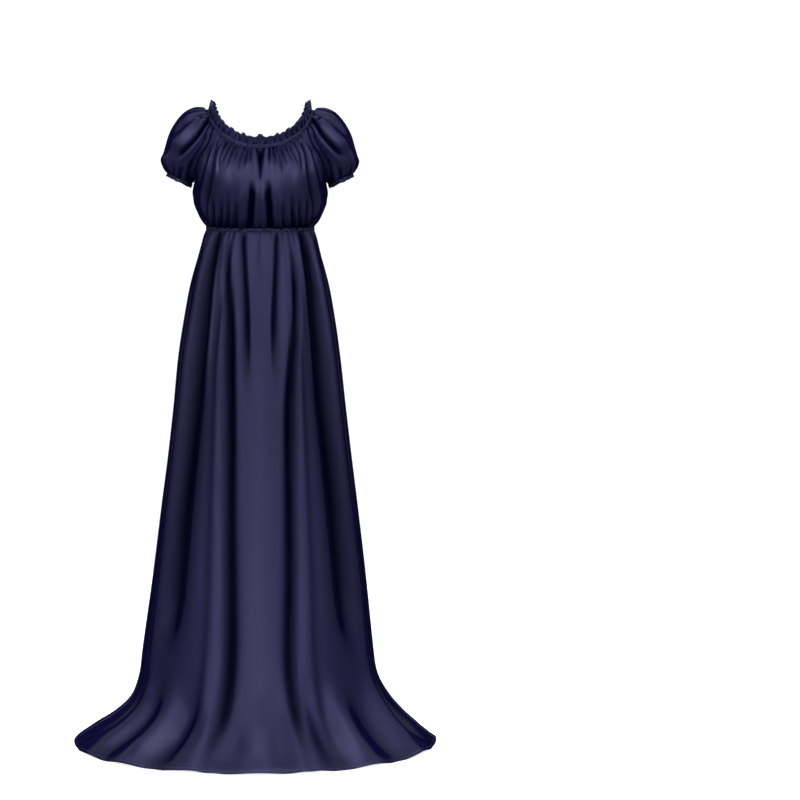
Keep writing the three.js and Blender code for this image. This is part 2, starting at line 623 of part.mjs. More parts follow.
// --------------------------------------------------------------------- panels
function bodicePanel(front) {
  const half = steps(front ? NECK_FRONT_STEPS : NECK_BACK_STEPS);
  const raglan = 1 - SIDE_SEAM.share;
  const rowsV = [...steps(RAGLAN_STEPS, 0, raglan).slice(0, -1), ...steps(SIDE_STEPS, raglan, 1)];
  const points = [],
    index = new Map(),
    cells = [];
  const halfSlit = (v) => (front && v < SLIT_END ? smooth(SLIT, "at", v / SLIT_END).half : 0);
  const key = (side, j, i) => {
    const open = front && j === 0 && halfSlit(rowsV[i]) > 0.2;
    return (j === 0 && !open ? "m" : side < 0 ? "r" : "l") + j + "_" + i;
  };
  const cloth = (u, w) => bodice(front, Math.min(u, 1), w);
  const turned = (w, u) => cloth(u, w);
  function point(side, j, i) {
    const k = key(side, j, i);
    if (index.has(k)) return index.get(k);
    const a = half[j],
      v = rowsV[i],
      onSide = a === 1,
      onSeam = onSide && v < raglan + 1e-9;
    let p, n;
    if (v === 0 || v === 1) {
      p = onSide ? insetCorner(cloth, a, v, CORNER_GAP) : inset(cloth, a, v, GAP / 2);
      if (a === 0) p.x = 0;
      if (v === 1) n = waistNormal(front ? (a * Math.PI) / 2 : Math.PI - (a * Math.PI) / 2);
      else n = neckSeamNormal(front ? a * RAGLAN_FRONT_AT : 1 - a * (1 - RAGLAN_BACK_AT));
    } else if (onSeam) {
      p = inset(turned, v, 1, v > raglan - 1e-9 ? CORNER_GAP : 0.6 * GAP);
      n = raglanNormal(front, v / raglan);
    } else if (onSide) {
      p = inset(turned, v, 1, GAP / 2);
      n = mitre(bodiceNormal(true, 1, v), bodiceNormal(false, 1, v)).setY(0);
    } else {
      p = bodice(front, a, v);
      n = bodiceNormal(front, a, v);
    }
    // The slit spreads the middle columns.
    p.x += halfSlit(v) * Math.exp(-((p.x / 22) ** 2));
    if (side < 0) {
      p = mirror(p);
      n = mirror(n);
    }
    points.push({ p, n });
    index.set(k, points.length - 1);
    return points.length - 1;
  }
  for (const side of [-1, 1])
    for (let j = 0; j < half.length - 1; j++)
      for (let i = 0; i < rowsV.length - 1; i++) {
        const c = [point(side, j, i), point(side, j + 1, i), point(side, j + 1, i + 1), point(side, j, i + 1)];
        cells.push(side > 0 ? c : c.reverse());
      }
  return wallOf(points, cells);
}

const CORNERS = [0, ARMHOLE_FRONT, ARMHOLE_BACK];
const sleeveStops = [
  ...steps(RAGLAN_STEPS, 0, ARMHOLE_FRONT).slice(0, -1),
  ...steps(NECK_SLEEVE_STEPS, ARMHOLE_FRONT, ARMHOLE_BACK).slice(0, -1),
  ...steps(RAGLAN_STEPS, ARMHOLE_BACK, 1).slice(0, -1),
];
function sleevePanel(side) {
  const rows = [0, ...steps(SLEEVE_ROWS - 2, 0.1, 0.93), 1].map((w) =>
    sleeveStops.map((f) => {
      const corner = w === 0 && CORNERS.some((c) => Math.abs(f - c) < 1e-9);
      let p =
        w === 0 || w === 1 ? inset(sleeve, f, w, corner ? CORNER_GAP : 0.6 * GAP) : sleeve(f, w);
      let n;
      if (w === 1) n = cuffNormal(f);
      else if (w === 0) {
        if (f <= ARMHOLE_FRONT + 1e-9) n = raglanNormal(true, 1 - f / ARMHOLE_FRONT);
        else if (f >= ARMHOLE_BACK - 1e-9)
          n = raglanNormal(false, (f - ARMHOLE_BACK) / (1 - ARMHOLE_BACK));
        else {
          const k = (f - ARMHOLE_FRONT) / (ARMHOLE_BACK - ARMHOLE_FRONT);
          n = neckSeamNormal(RAGLAN_FRONT_AT + k * (RAGLAN_BACK_AT - RAGLAN_FRONT_AT));
        }
      } else n = sleeveNormal(f, w);
      if (side < 0) {
        p = mirror(p);
        n = mirror(n);
      }
      return { p, n };
    }),
  );
  return gridWall(rows, true);
}

function cuff(side) {
  const rows = [GAP / 2, CASING - GAP / 2].map((down) =>
    sleeveStops.map((f) => {
      const p = cuffPoint(f, down),
        n = cuffNormal(f);
      return { p: side < 0 ? mirror(p) : p, n: side < 0 ? mirror(n) : n, t: CASING_WALL };
    }),
  );
  return gridWall(rows, true);
}

function skirtPanel(front) {
  const a0 = front ? -Math.PI / 2 : Math.PI / 2;
  const rows = SKIRT_ROWS.map((h, i) =>
    steps(SKIRT_STEPS, a0, a0 + Math.PI).map((angle, j) => {
      const hh = i === 0 ? 1 - GAP / 2 / 1170 : h;
      const p = skirt(angle, hh);
      let n;
      if (i === 0) n = waistNormal(angle);
      else {
        n = normalOf((u, w) => skirt(u, Math.max(w, 0)), angle, Math.max(hh, 0.002), V(p.x, p.y, 0), 0.03, 0.002);
        if (j === 0 || j === SKIRT_STEPS) n.setY(0).normalize();
      }
      if (j === 0 || j === SKIRT_STEPS) p.y = front ? -GAP / 2 : GAP / 2;
      return { p, n, t: h < 0.01 ? HEM_WALL : WALL };
    }),
  );
  return gridWall(rows);
}

// ------------------------------------------------------------------------ knot
// Two short ends of cord crossed at the head of the slit, joined in one body.
const wasm = await Module();
wasm.setup();
function solidOf(geometry) {
  const g = geometry.index ? geometry : geometry.clone();
  g.deleteAttribute("normal");
  g.deleteAttribute("uv");
  const m = mergeVertices(g, 1e-3);
  return new wasm.Manifold(
    new wasm.Mesh({
      numProp: 3,
      vertProperties: m.attributes.position.array,
      triVerts: new Uint32Array(m.index.array),
    }),
  );
}
function knot() {
  const at = neckLower(0);
  at.y -= KNOT.proud;
  at.z -= KNOT.drop;
  let whole = null;
  for (const turn of [KNOT.slant, -KNOT.slant]) {
    const bar = new THREE.CapsuleGeometry(KNOT.radius, 2 * KNOT.halfLength - 2 * KNOT.radius, 3, 8);
    bar.rotateZ(rad(turn));
    bar.translate(at.x, 0, 0);
    bar.rotateX(Math.PI / 2);
    bar.translate(0, at.y, at.z);
    whole = whole ? whole.add(solidOf(bar)) : solidOf(bar);
  }
  const bead = new THREE.IcosahedronGeometry(KNOT.radius * 1.5, 1);
  bead.translate(0, at.y, at.z);
  whole = whole.add(solidOf(bead));
  const mesh = whole.getMesh();
  const g = new THREE.BufferGeometry();
  g.setAttribute("position", new THREE.Float32BufferAttribute(mesh.vertProperties, 3));
  g.setIndex(Array.from(mesh.triVerts));
  g.computeVertexNormals();
  return g;
}

// ----------------------------------------------------------------------- gown
const satin = (color) => new THREE.MeshStandardMaterial({ color, roughness: 0.42, metalness: 0 });
const gown = new THREE.Group();
function add(name, geometry, color) {
  const mesh = new THREE.Mesh(geometry, satin(color));
  mesh.name = name;
  gown.add(mesh);
}
add("bodice_front", bodicePanel(true), 0x1f1d46);
add("bodice_back", bodicePanel(false), 0x20224c);
add("sleeve_right", sleevePanel(-1), 0x22204a);
add("sleeve_left", sleevePanel(1), 0x22204a);
add("cuff_right", cuff(-1), 0x19173a);
add("cuff_left", cuff(1), 0x19173a);
add("neck_casing", neckCasing(), 0x1b1a40);
add("neck_ruffle", neckRuffle(), 0x24224e);
add("neck_knot", knot(), 0x14122e);
add("waist_casing", waistCasing(), 0x19173a);
add("skirt_front", skirtPanel(true), 0x1e1b47);
add("skirt_back", skirtPanel(false), 0x1e1b47);
gown.position.z = -HOLD_HEIGHT;

export default gown;
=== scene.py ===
import math

import bpy
import numpy as np
from mathutils import Matrix, Vector


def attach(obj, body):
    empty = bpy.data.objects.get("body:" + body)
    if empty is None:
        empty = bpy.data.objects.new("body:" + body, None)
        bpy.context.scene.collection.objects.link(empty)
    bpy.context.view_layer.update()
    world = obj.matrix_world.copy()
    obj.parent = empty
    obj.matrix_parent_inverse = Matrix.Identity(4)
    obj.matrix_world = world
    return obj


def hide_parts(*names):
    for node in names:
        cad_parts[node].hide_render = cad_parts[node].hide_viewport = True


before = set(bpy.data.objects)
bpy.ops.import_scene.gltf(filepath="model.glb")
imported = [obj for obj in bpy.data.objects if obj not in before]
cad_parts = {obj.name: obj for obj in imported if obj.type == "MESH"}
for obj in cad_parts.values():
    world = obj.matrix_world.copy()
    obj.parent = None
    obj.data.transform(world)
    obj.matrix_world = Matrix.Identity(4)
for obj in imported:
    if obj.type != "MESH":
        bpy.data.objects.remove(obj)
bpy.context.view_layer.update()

TAU = 2 * math.pi

# ------------------------------------------------------------------ sizes, mm
HOLD = 1440.0  # shoulder height above the floor; the row frame's origin
CASING = 8.0
RUFFLE = 22.0
RAGLAN_F, RAGLAN_B = 0.306, 0.6
UNDERARM = np.array([147.0, 8.0, 1283.0])
WAIST_W, WAIST_D = 121.0, 96.0
WAIST_SIDE, WAIST_FRONT, WAIST_BACK = 1175.0, 1170.0, 1162.0
CUFF_AT = np.array([181.0, 4.0, 1286.0])
CUFF_W, CUFF_D, CUFF_TILT = 30.0, 45.0, math.radians(26)
SLIT_END = 0.42

# Neck casing's middle line: part of the way from front to back, x, y, z, lean.
NECK = [
    (0.0, 0, -97, 1358, 20), (0.075, 30, -96, 1361, 20), (0.135, 53, -91, 1367, 22),
    (0.183, 69, -84, 1375, 25), (0.237, 85, -73, 1386, 30), (0.306, 101, -57, 1402, 38),
    (0.384, 113, -35, 1421, 52), (0.454, 119, -12, 1435, 66), (0.511, 120, 10, 1440, 72),
    (0.573, 117, 34, 1434, 66), (0.65, 108, 56, 1415, 50), (0.72, 95, 70, 1393, 36),
    (0.79, 78, 81, 1374, 28), (0.855, 57, 89, 1361, 22), (0.93, 28, 94, 1353, 18),
    (1.0, 0, 95, 1351, 18),
]
RAGLAN_FRONT = [(116, -74, 1364), (130, -74, 1341), (142, -63, 1314), (148, -42, 1294), (150, -16, 1285)]
RAGLAN_BACK = [(130, 68, 1402), (145, 80, 1366), (149, 79, 1326), (151, 60, 1298), (150, 34, 1286)]
# at, sideA, outA, fallA, sideC, outC, fallC: how the cloth leaves the neck casing (A)
# and reaches the waist casing (C).
FRONT_COLUMNS = [
    (0.0, 0, 88, 0.95, 0, 128, 0.8), (0.25, 5, 140, 0.9, 10, 156, 0.75),
    (0.5, 20, 190, 0.85, 30, 215, 0.7), (0.7, 70, 180, 0.85, 95, 165, 0.7),
    (0.85, 115, 150, 0.9, 130, 95, 0.7), (1.0, 140, 130, 1.0, 130, 46, 0.7),
]
BACK_COLUMNS = [
    (0.0, 0, 50, 1.0, 0, 52, 0.9), (0.3, 10, 74, 1.0, 14, 70, 0.85),
    (0.62, 40, 120, 1.0, 56, 120, 0.8), (0.85, 70, 190, 1.0, 90, 130, 0.75),
    (1.0, 110, 260, 1.0, 130, 150, 0.7),
]
SIDE_SWELL, SIDE_BLOUSE, SIDE_FALL, SIDE_LAND, SIDE_SHARE = 46.0, 66.0, 1.0, 0.7, 0.36
# at, outA, foreA, upA, outC, foreC, upC: how the sleeve leaves the armhole and
# reaches the cuff.
SLEEVE_COLUMNS = [
    (0.0, 9, 0, -8, 4, 0, -10), (0.12, 48, 16, -8, 3, -25, -40), (0.22, 95, 42, 0, -10, -70, -90),
    (0.36, 112, 88, 72, -64, -95, -150), (0.47, 130, 6, 140, -118, 0, -150),
    (0.58, 112, -84, 92, -68, 90, -155), (0.74, 92, -50, 6, -12, 70, -100),
    (0.88, 48, -18, -8, 3, 25, -40), (1.0, 9, 0, -8, 4, 0, -10),
]
ARM_FRONT, ARM_BACK = 0.36, 0.58
# height, half-widths at the right and left, half-depths at the front and back.
SKIRT = [
    (1172, 121, 121, 96, 96), (1147, 131, 129, 104, 104), (1062, 152, 149, 125, 124),
    (969, 168, 165, 144, 143), (878, 182, 178, 160, 161), (773, 193, 190, 175, 179),
    (654, 207, 204, 191, 196), (554, 220, 216, 206, 212), (383, 241, 236, 233, 240),
    (207, 266, 256, 262, 270), (150, 272, 266, 272, 281), (100, 288, 291, 289, 298),
    (64, 325, 322, 314, 322), (30, 382, 362, 348, 354), (12, 413, 388, 372, 374),
    (2, 422, 402, 382, 384),
]
SLIT = [(0.0, 8.6), (0.16, 5.6), (0.34, 3.2), (0.55, 1.9), (0.8, 1.1), (1.0, 0.0)]

# ----------------------------------------------------- folds placed one by one, mm
# Front of the bodice, wearer's left half, seen from the front. Each fold has its
# line (x, height), depth (a ridge is positive), half-width at its start and end, and
# the parts of its length over which it fades in and out.
FRONT_FOLDS = [
    ([(20.7, 1288), (17.5, 1253), (20.0, 1221), (23.5, 1176)], -10.0, 5.0, 7.5, 0.42, 0.0),
    ([(36, 1292), (38.5, 1262), (42, 1230), (44.5, 1178)], 4.0, 6, 5.5, 0.5, 0.0),
    ([(7.5, 1286), (7.0, 1250), (10.5, 1215), (13, 1176)], 3.0, 4.5, 4.5, 0.4, 0.0),
    ([(27.5, 1215), (30, 1178)], 2.4, 3.0, 3.0, 0.5, 0.0),
    ([(52, 1256), (53, 1215), (54, 1178)], -4.0, 5.0, 4.2, 0.6, 0.0),
    ([(61, 1240), (63, 1208), (64, 1178)], 3.6, 4.6, 4.0, 0.6, 0.0),
    ([(70, 1268), (72, 1222), (72.5, 1178)], -4.4, 5.4, 4.2, 0.6, 0.0),
    ([(79, 1236), (81.5, 1206), (81.5, 1178)], 3.6, 4.4, 3.8, 0.6, 0.0),
    ([(88, 1262), (90, 1220), (89.5, 1178)], -4.2, 5.2, 4.0, 0.6, 0.0),
    ([(98, 1246), (98.5, 1212), (96, 1178)], 3.2, 4.6, 3.6, 0.6, 0.0),
    ([(106, 1268), (107, 1222), (102.5, 1178)], -3.8, 5.0, 3.6, 0.6, 0.0),
    ([(115, 1258), (115.5, 1220), (109, 1178)], 3.0, 4.6, 3.6, 0.5, 0.0),
    ([(92.7, 1370), (102.3, 1343), (107.1, 1311), (112.5, 1273), (119.5, 1234), (116, 1190)], -4.8, 3.0, 6.0, 0.0, 0.25),
    ([(84.7, 1379), (108.3, 1341), (119.5, 1298), (129.1, 1260), (130.7, 1228), (122.7, 1189)], 3.6, 3.0, 5.5, 0.05, 0.2),
    ([(112.7, 1352), (127.0, 1305), (138.2, 1260), (139.8, 1232)], -3.6, 3.5, 6.0, 0.2, 0.3),
    ([(82, 1371), (94, 1340), (98, 1310), (101, 1282)], 2.8, 2.6, 5.0, 0.0, 0.5),
    ([(16, 1352), (18.5, 1335), (19.5, 1318)], -2.6, 2.4, 4.0, 0.0, 0.6),
    ([(20.5, 1352), (24.5, 1330), (26, 1300)], 2.0, 2.4, 5.0, 0.0, 0.6),
    ([(25.5, 1352), (31.5, 1326), (35, 1306)], -3.0, 2.4, 4.6, 0.0, 0.6),
    ([(30.5, 1352), (38.5, 1328), (42, 1310)], 2.0, 2.2, 4.6, 0.0, 0.6),
    ([(35.5, 1353), (44.5, 1322), (47, 1300), (44, 1286)], -3.2, 2.4, 4.2, 0.0, 0.5),
    ([(45, 1356), (57, 1328), (61, 1312)], -3.0, 2.4, 4.6, 0.0, 0.6),
    ([(54.5, 1358), (70, 1328), (75, 1306)], -3.4, 2.4, 5.0, 0.0, 0.6),
    ([(64, 1361), (81, 1333), (87, 1310)], -3.2, 2.4, 5.0, 0.0, 0.6),
    ([(73.5, 1366), (89, 1338), (94, 1311), (95, 1290)], -3.4, 2.4, 5.0, 0.0, 0.55),
    ([(49.5, 1357), (63, 1330), (68, 1310)], 2.0, 2.4, 5.0, 0.0, 0.7),
    ([(59.5, 1360), (76, 1330), (81, 1306)], 2.2, 2.4, 5.0, 0.0, 0.7),
    ([(69, 1364), (85.5, 1336), (91, 1308)], 2.0, 2.4, 5.0, 0.0, 0.7),
]
# The middle of the front, on both halves.
FRONT_MIDDLE = [([(0, 1292), (0, 1262), (0, 1235), (0, 1205)], 5.0, 4.0, 6.0, 0.15, 0.5)]
# Back of the bodice, wearer's left half, seen from the back.
BACK_FOLDS = [
    ([(0, 1346), (0, 1290), (0, 1240), (0, 1170)], -4.0, 4.0, 9.0, 0.0, 0.0),
    ([(14, 1346), (13.5, 1290), (15.5, 1235), (18, 1170)], 4.6, 5.0, 6.0, 0.0, 0.0),
    ([(28, 1349), (31, 1300), (30.5, 1245), (29, 1170)], -4.8, 4.0, 6.0, 0.0, 0.0),
    ([(41, 1351), (50, 1300), (53, 1240), (45, 1172)], 5.0, 5.0, 7.0, 0.0, 0.0),
    ([(55, 1357), (67, 1305), (71, 1245), (61, 1174)], -4.4, 4.0, 6.0, 0.0, 0.0),
    ([(67, 1364), (82, 1310), (88, 1250), (74, 1175)], 4.0, 4.5, 6.5, 0.0, 0.0),
    ([(78, 1374), (97, 1320), (104, 1262), (88, 1176)], -4.0, 4.0, 6.0, 0.0, 0.0),
    ([(88, 1386), (112, 1330), (121, 1270), (102, 1176)], 3.4, 4.5, 6.5, 0.0, 0.1),
    ([(98, 1398), (127, 1345), (137, 1285), (114, 1178)], -3.2, 4.0, 6.0, 0.0, 0.1),
]
# Front and back of the left sleeve, in the same way.
SLEEVE_FRONT = [
    ([(129, 1424), (150, 1404), (173, 1381), (193, 1362), (209, 1346)], 6.0, 5.0, 11.0, 0.12, 0.3),
    ([(113, 1421), (128, 1404), (143, 1382), (173, 1352), (203, 1333)], -9.0, 3.5, 8.5, 0.05, 0.3),
    ([(118, 1398), (134, 1376), (158, 1348), (184, 1322), (196, 1306)], 5.0, 3.5, 10.0, 0.12, 0.3),
    ([(112, 1392), (124, 1364), (138, 1338), (158, 1312), (176, 1294)], -5.0, 3.0, 8.0, 0.1, 0.4),
    ([(118, 1430), (140, 1424), (168, 1405), (188, 1384)], -3.0, 3.0, 8.0, 0.05, 0.5),
    ([(110, 1413), (121, 1398), (130, 1380)], 2.6, 2.2, 4.5, 0.0, 0.6),
    ([(107, 1407), (117, 1390), (124, 1370)], -3.0, 2.2, 4.5, 0.0, 0.6),
    ([(116, 1425), (130, 1412), (142, 1396)], 2.6, 2.2, 4.5, 0.0, 0.6),
    ([(120, 1432), (134, 1421), (150, 1409)], 2.2, 2.2, 4.5, 0.0, 0.6),
    ([(146, 1330), (152, 1306), (156, 1288)], -3.4, 5.0, 4.0, 0.5, 0.0),
    ([(160, 1326), (165, 1306), (169, 1286)], 3.0, 5.0, 3.6, 0.5, 0.0),
    ([(172, 1318), (176, 1304), (179, 1290)], -3.0, 4.6, 3.4, 0.5, 0.0),
    ([(186, 1322), (189, 1308), (190, 1296)], 2.8, 4.6, 3.4, 0.5, 0.0),
    ([(212, 1338), (222, 1324), (221, 1310)], 4.0, 6.0, 7.0, 0.4, 0.4),
]
SLEEVE_BACK = [
    ([(122, 1430), (140, 1414), (160, 1385), (186, 1350), (203, 1325)], -6.5, 4.0, 9.0, 0.05, 0.35),
    ([(114, 1424), (132, 1398), (150, 1366), (172, 1332), (188, 1306)], 5.5, 4.0, 9.0, 0.1, 0.3),
    ([(108, 1416), (126, 1384), (142, 1350), (158, 1316)], -5.0, 3.0, 7.0, 0.1, 0.4),
    ([(126, 1434), (152, 1420), (182, 1390), (206, 1356)], 4.5, 4.0, 10.0, 0.1, 0.4),
    ([(152, 1326), (158, 1306), (163, 1286)], 3.0, 5.0, 3.6, 0.5, 0.0),
    ([(172, 1322), (176, 1306), (180, 1290)], -3.0, 5.0, 3.6, 0.5, 0.0),
]
# Skirt: line (height, degrees from front centre towards the wearer's left), depth,
# half-width at the top and at the foot, and the heights over which it fades in below
# the waist and out above the hem.
SKIRT_FOLDS = [
    # the two very dark wedges at the outside of the front
    ([(1170, 50), (1100, 50.5), (969, 49.5), (773, 51), (691, 52), (417, 54), (235, 55), (60, 56)], -27, 10, 38, 1172, 250),
    ([(1170, -50), (1090, -51), (969, -51), (773, -51.5), (691, -52), (417, -53), (235, -53), (60, -53)], -27, 10, 36, 1172, 250),
    # the long narrow valleys between them
    ([(1166, 35), (1000, 29), (800, 21), (691, 19.5), (417, 17), (235, 15.2), (60, 16)], -12.5, 5, 15, 1120, 60),
    ([(1166, -34), (969, -24), (773, -20.5), (691, -19.5), (417, -16.4), (235, -15), (60, -17)], -13.0, 5, 15, 1160, 60),
    # short valleys below the casing
    ([(1166, 17.5), (1060, 13.5), (969, 11), (820, 10)], -9.5, 4.6, 9, 1170, 850),
    ([(1166, -17.5), (1060, -13), (969, -10.5), (800, -9)], -9.0, 4.6, 9, 1170, 830),
    # ridges
    ([(1150, 0), (900, 0.5), (600, 0), (300, -0.5), (60, 1)], 3.0, 12, 44, 1000, 40),
    ([(1150, 25), (900, 27), (691, 27), (417, 26), (235, 25), (60, 27)], 6.0, 5, 16, 1160, 40),
    ([(1150, -26), (900, -29), (691, -28), (417, -25.5), (235, -25), (60, -28)], 6.0, 5, 16, 1160, 40),
    ([(1150, 62), (900, 64), (691, 64), (417, 66), (235, 66), (60, 64)], 7.0, 7, 24, 1165, 40),
    ([(1150, -62), (900, -65), (691, -66), (417, -65), (235, -64), (60, -61)], 7.0, 7, 24, 1165, 40),
    ([(1150, 41), (1000, 41), (800, 39.5)], 3.4, 4, 9, 1165, 820),
    ([(1150, -42), (1000, -41), (780, -39)], 3.4, 4, 9, 1165, 800),
    # sides and back
    ([(1150, 78), (900, 80), (600, 80), (300, 79), (60, 80)], -6.0, 6, 15, 1120, 60),
    ([(1150, -79), (900, -80), (600, -79), (300, -80), (60, -79)], -5.5, 6, 15, 1100, 60),
    ([(1150, 92), (700, 92), (300, 91), (60, 92)], 4.0, 8, 18, 1120, 30),
    ([(1150, -92), (700, -92), (300, -92), (60, -93)], 4.0, 8, 18, 1120, 30),
    ([(1150, 108), (900, 110), (600, 111), (300, 110), (60, 111)], -12, 6, 20, 1168, 60),
    ([(1150, -109), (900, -111), (600, -110), (300, -112), (60, -112)], -12, 6, 20, 1168, 60),
    ([(1150, 126), (900, 128), (600, 128), (300, 129), (60, 128)], 6.5, 6, 20, 1160, 40),
    ([(1150, -127), (900, -128), (600, -127), (300, -128), (60, -130)], 6.5, 6, 20, 1160, 40),
    ([(1162, 143), (900, 147), (600, 149), (300, 150), (60, 149)], -10, 5, 17, 1165, 60),
    ([(1162, -142), (900, -146), (600, -149), (300, -149), (60, -150)], -10, 5, 17, 1165, 60),
    ([(1160, 160), (900, 161), (600, 162), (300, 162), (60, 161)], 5.5, 5, 18, 1150, 40),
    ([(1160, -158), (900, -160), (600, -161), (300, -161), (60, -162)], 5.5, 5, 18, 1150, 40),
    ([(1160, 172), (1000, 172), (800, 173)], -6, 4, 9, 1165, 850),
    ([(1160, -173), (1000, -173), (760, -172)], -6, 4, 9, 1165, 800),
    ([(1160, 180), (700, 180), (300, 180), (60, 180)], 4.5, 6, 22, 1080, 40),
]
# Waves of the flared hem: degrees, depth, half-width in degrees, height where they end.
HEM_WAVES = [
    (-66, 15, 8, 190), (-56, -10, 5, 150), (-46, 14, 6.5, 210), (-33, -9, 6, 170), (-21, 14, 6.5, 230),
    (-10, -6, 5, 140),
    (0, 7, 8, 200), (8, -7, 5, 160), (16, 15, 6, 240), (27, -9, 6, 160), (38, 14, 6.5, 210),
    (50, -10, 6, 160), (64, 15, 8, 230), (79, -9, 7, 150), (94, 8, 9, 190), (112, -7, 8, 170),
    (128, 8, 8, 210), (142, -6, 6, 150), (156, 7, 7, 220), (171, -5, 6, 160), (-176, 5, 7, 200),
    (-163, 7, 7, 220), (-148, -6, 7, 160), (-132, 8, 8, 210), (-114, -7, 8, 160), (-95, 8, 9, 200),
    (-79, -6, 7, 150),
]


# ---------------------------------------------------------------------- helpers
def unit(v):
    return v / np.maximum(np.linalg.norm(v, axis=-1, keepdims=True), 1e-9)


def dot(a, b):
    return (a * b).sum(-1, keepdims=True)


def ease(a, b, x):
    t = np.clip((np.asarray(x, float) - a) / (b - a), 0, 1)
    return t * t * (3 - 2 * t)


def table(rows, x):
    """Smooth values of a table's columns at x, whose key is the first column."""
    r = np.array(rows, float)
    if r[0, 0] > r[-1, 0]:
        r = r[::-1]
    k, v = r[:, 0], r[:, 1:]
    x = np.asarray(x, float)
    i = np.clip(np.searchsorted(k, x, "right") - 1, 0, len(k) - 2)
    h = (k[i + 1] - k[i])[..., None]
    t = np.clip((x[..., None] - k[i][..., None]) / h, 0, 1)
    s = np.empty_like(v)
    s[1:-1] = (v[2:] - v[:-2]) / (k[2:] - k[:-2])[:, None]
    s[0] = (v[1] - v[0]) / (k[1] - k[0])
    s[-1] = (v[-1] - v[-2]) / (k[-1] - k[-2])
    t2, t3 = t * t, t * t * t
    return (
        (2 * t3 - 3 * t2 + 1) * v[i]
        + (t3 - 2 * t2 + t) * h * s[i]
        + (3 * t2 - 2 * t3) * v[i + 1]
        + (t3 - t2) * h * s[i + 1]
    )


def hermite(a, m0, c, m1, t):
    t = np.asarray(t, float)[..., None]
    t2, t3 = t * t, t * t * t
    return (2 * t3 - 3 * t2 + 1) * a + (t3 - 2 * t2 + t) * m0 + (3 * t2 - 2 * t3) * c + (t3 - t2) * m1


def stack(x, y, z):
    return np.stack(np.broadcast_arrays(x, y, z), -1).astype(float)


def grid_normals(p, around=False, hint=None):
    du = np.roll(p, -1, 1) - np.roll(p, 1, 1) if around else np.gradient(p, axis=1)
    dv = np.gradient(p, axis=0)
    n = unit(np.cross(du, dv))
    if hint is not None and (n * hint).sum() < 0:
        n = -n
    return n


def along(p, axis):
    """Arc length of a grid's lines, in mm, from their start."""
    d = np.linalg.norm(np.diff(p, axis=axis), axis=-1)
    zero = np.zeros_like(np.take(d, [0], axis))
    return np.concatenate([zero, np.cumsum(d, axis)], axis)


def fold_field(q, folds, only=None):
    """Sum of folds placed as lines in the same coordinates as q."""
    shape = q.shape[:-1]
    q = q.reshape(-1, q.shape[-1])
    out = np.zeros(len(q))
    for pts, depth, w0, w1, fade_in, fade_out in folds:
        line = np.array(pts, float)
        key = np.linspace(0, 1, len(line))
        rows = [(k, *p) for k, p in zip(key, line)]
        line = table(rows, np.linspace(0, 1, 22)) if len(line) > 2 else line
        step = np.linalg.norm(np.diff(line, axis=0), axis=1)
        total = step.sum()
        start = np.concatenate([[0], np.cumsum(step)[:-1]])
        reach = 3 * max(w0, w1)
        lo, hi = line.min(0) - reach, line.max(0) + reach
        near = np.where(((q > lo) & (q < hi)).all(1))[0]
        if not len(near):
            continue
        best = np.full(len(near), 1e9)
        where = np.zeros(len(near))
        pq = q[near]
        for a, b, s0, l in zip(line[:-1], line[1:], start, step):
            d = (b - a) / max(l, 1e-9)
            t = np.clip((pq - a) @ d, 0, l)
            r2 = ((pq - a - t[:, None] * d) ** 2).sum(1)
            hit = r2 < best
            best[hit] = r2[hit]
            where[hit] = (s0 + t[hit]) / total
        w = w0 + (w1 - w0) * where
        f = depth * np.exp(-best / (w * w))
        if fade_in:
            f *= ease(0, fade_in, where)
        if fade_out:
            f *= 1 - ease(1 - fade_out, 1, where)
        out[near] += f
    return out.reshape(shape)


def gathers(u, s, length, spacing, depth, seed, short, long, width, spread=0.012, drift=0.06, around=False):
    """Small pleats that leave a casing: u runs along it and s away from it, in mm.
    They are uneven in place, depth, width and length."""
    rng = np.random.default_rng(seed)
    at = 0.0
    out = np.zeros_like(s)
    places = []
    while at < length - 0.4 * spacing:
        places.append(at)
        at += spacing * rng.uniform(0.62, 1.42)
    for c in places:
        d = depth * rng.uniform(0.45, 1.3)
        w = width * rng.uniform(0.75, 1.3)
        reach = short + (long - short) * rng.uniform(0, 1) ** 1.8
        slip = rng.normal() * drift
        gap = u - c - slip * s
        if around:
            gap = gap - length * np.round(gap / length)
        ww = w * (1 + spread * s)
        f = np.exp(-(gap / ww) ** 2) - 0.42 * np.exp(-(gap / (2.3 * ww)) ** 2)
        out -= d * f * (1 - ease(0.25 * reach, reach, s))
    return out


# --------------------------------------------------------------------- neckline
_n = np.array(NECK, float)
_left = _n.copy()
_right = _n[::-1].copy()
_right[:, 0] *= -1
_right[:, 1] *= -1
NECK_LOOP = np.concatenate(
    [
        [[-1 - (1 - _n[14, 0]), _n[14, 1], *_n[14, 2:]]],
        _right,
        _left[1:],
        [[1 + (1 - _n[14, 0]), -_n[14, 1], *_n[14, 2:]]],
    ]
)


def neck_frame(q):
    q = np.asarray(q, float)
    q = (q + 1) % 2 - 1
    r = table(NECK_LOOP, q)
    e = 1e-3
    way = unit(table(NECK_LOOP, q + e)[..., :3] - table(NECK_LOOP, q - e)[..., :3])
    lean = np.radians(r[..., 3])
    n = unit(stack(r[..., 0], r[..., 1] * 1.1, 0)) * np.cos(lean)[..., None]
    n[..., 2] = np.sin(lean)
    n = unit(n - way * dot(n, way))
    a = np.cross(way, n)
    flip = (a[..., 2] > 0) | ((np.abs(a[..., 2]) < 0.2) & (a[..., 0] * r[..., 0] < 0))
    a[flip] *= -1
    return r[..., :3], way, n, a


def neck_lower(q):
    p, _, _, a = neck_frame(q)
    return p + a * (CASING / 2)


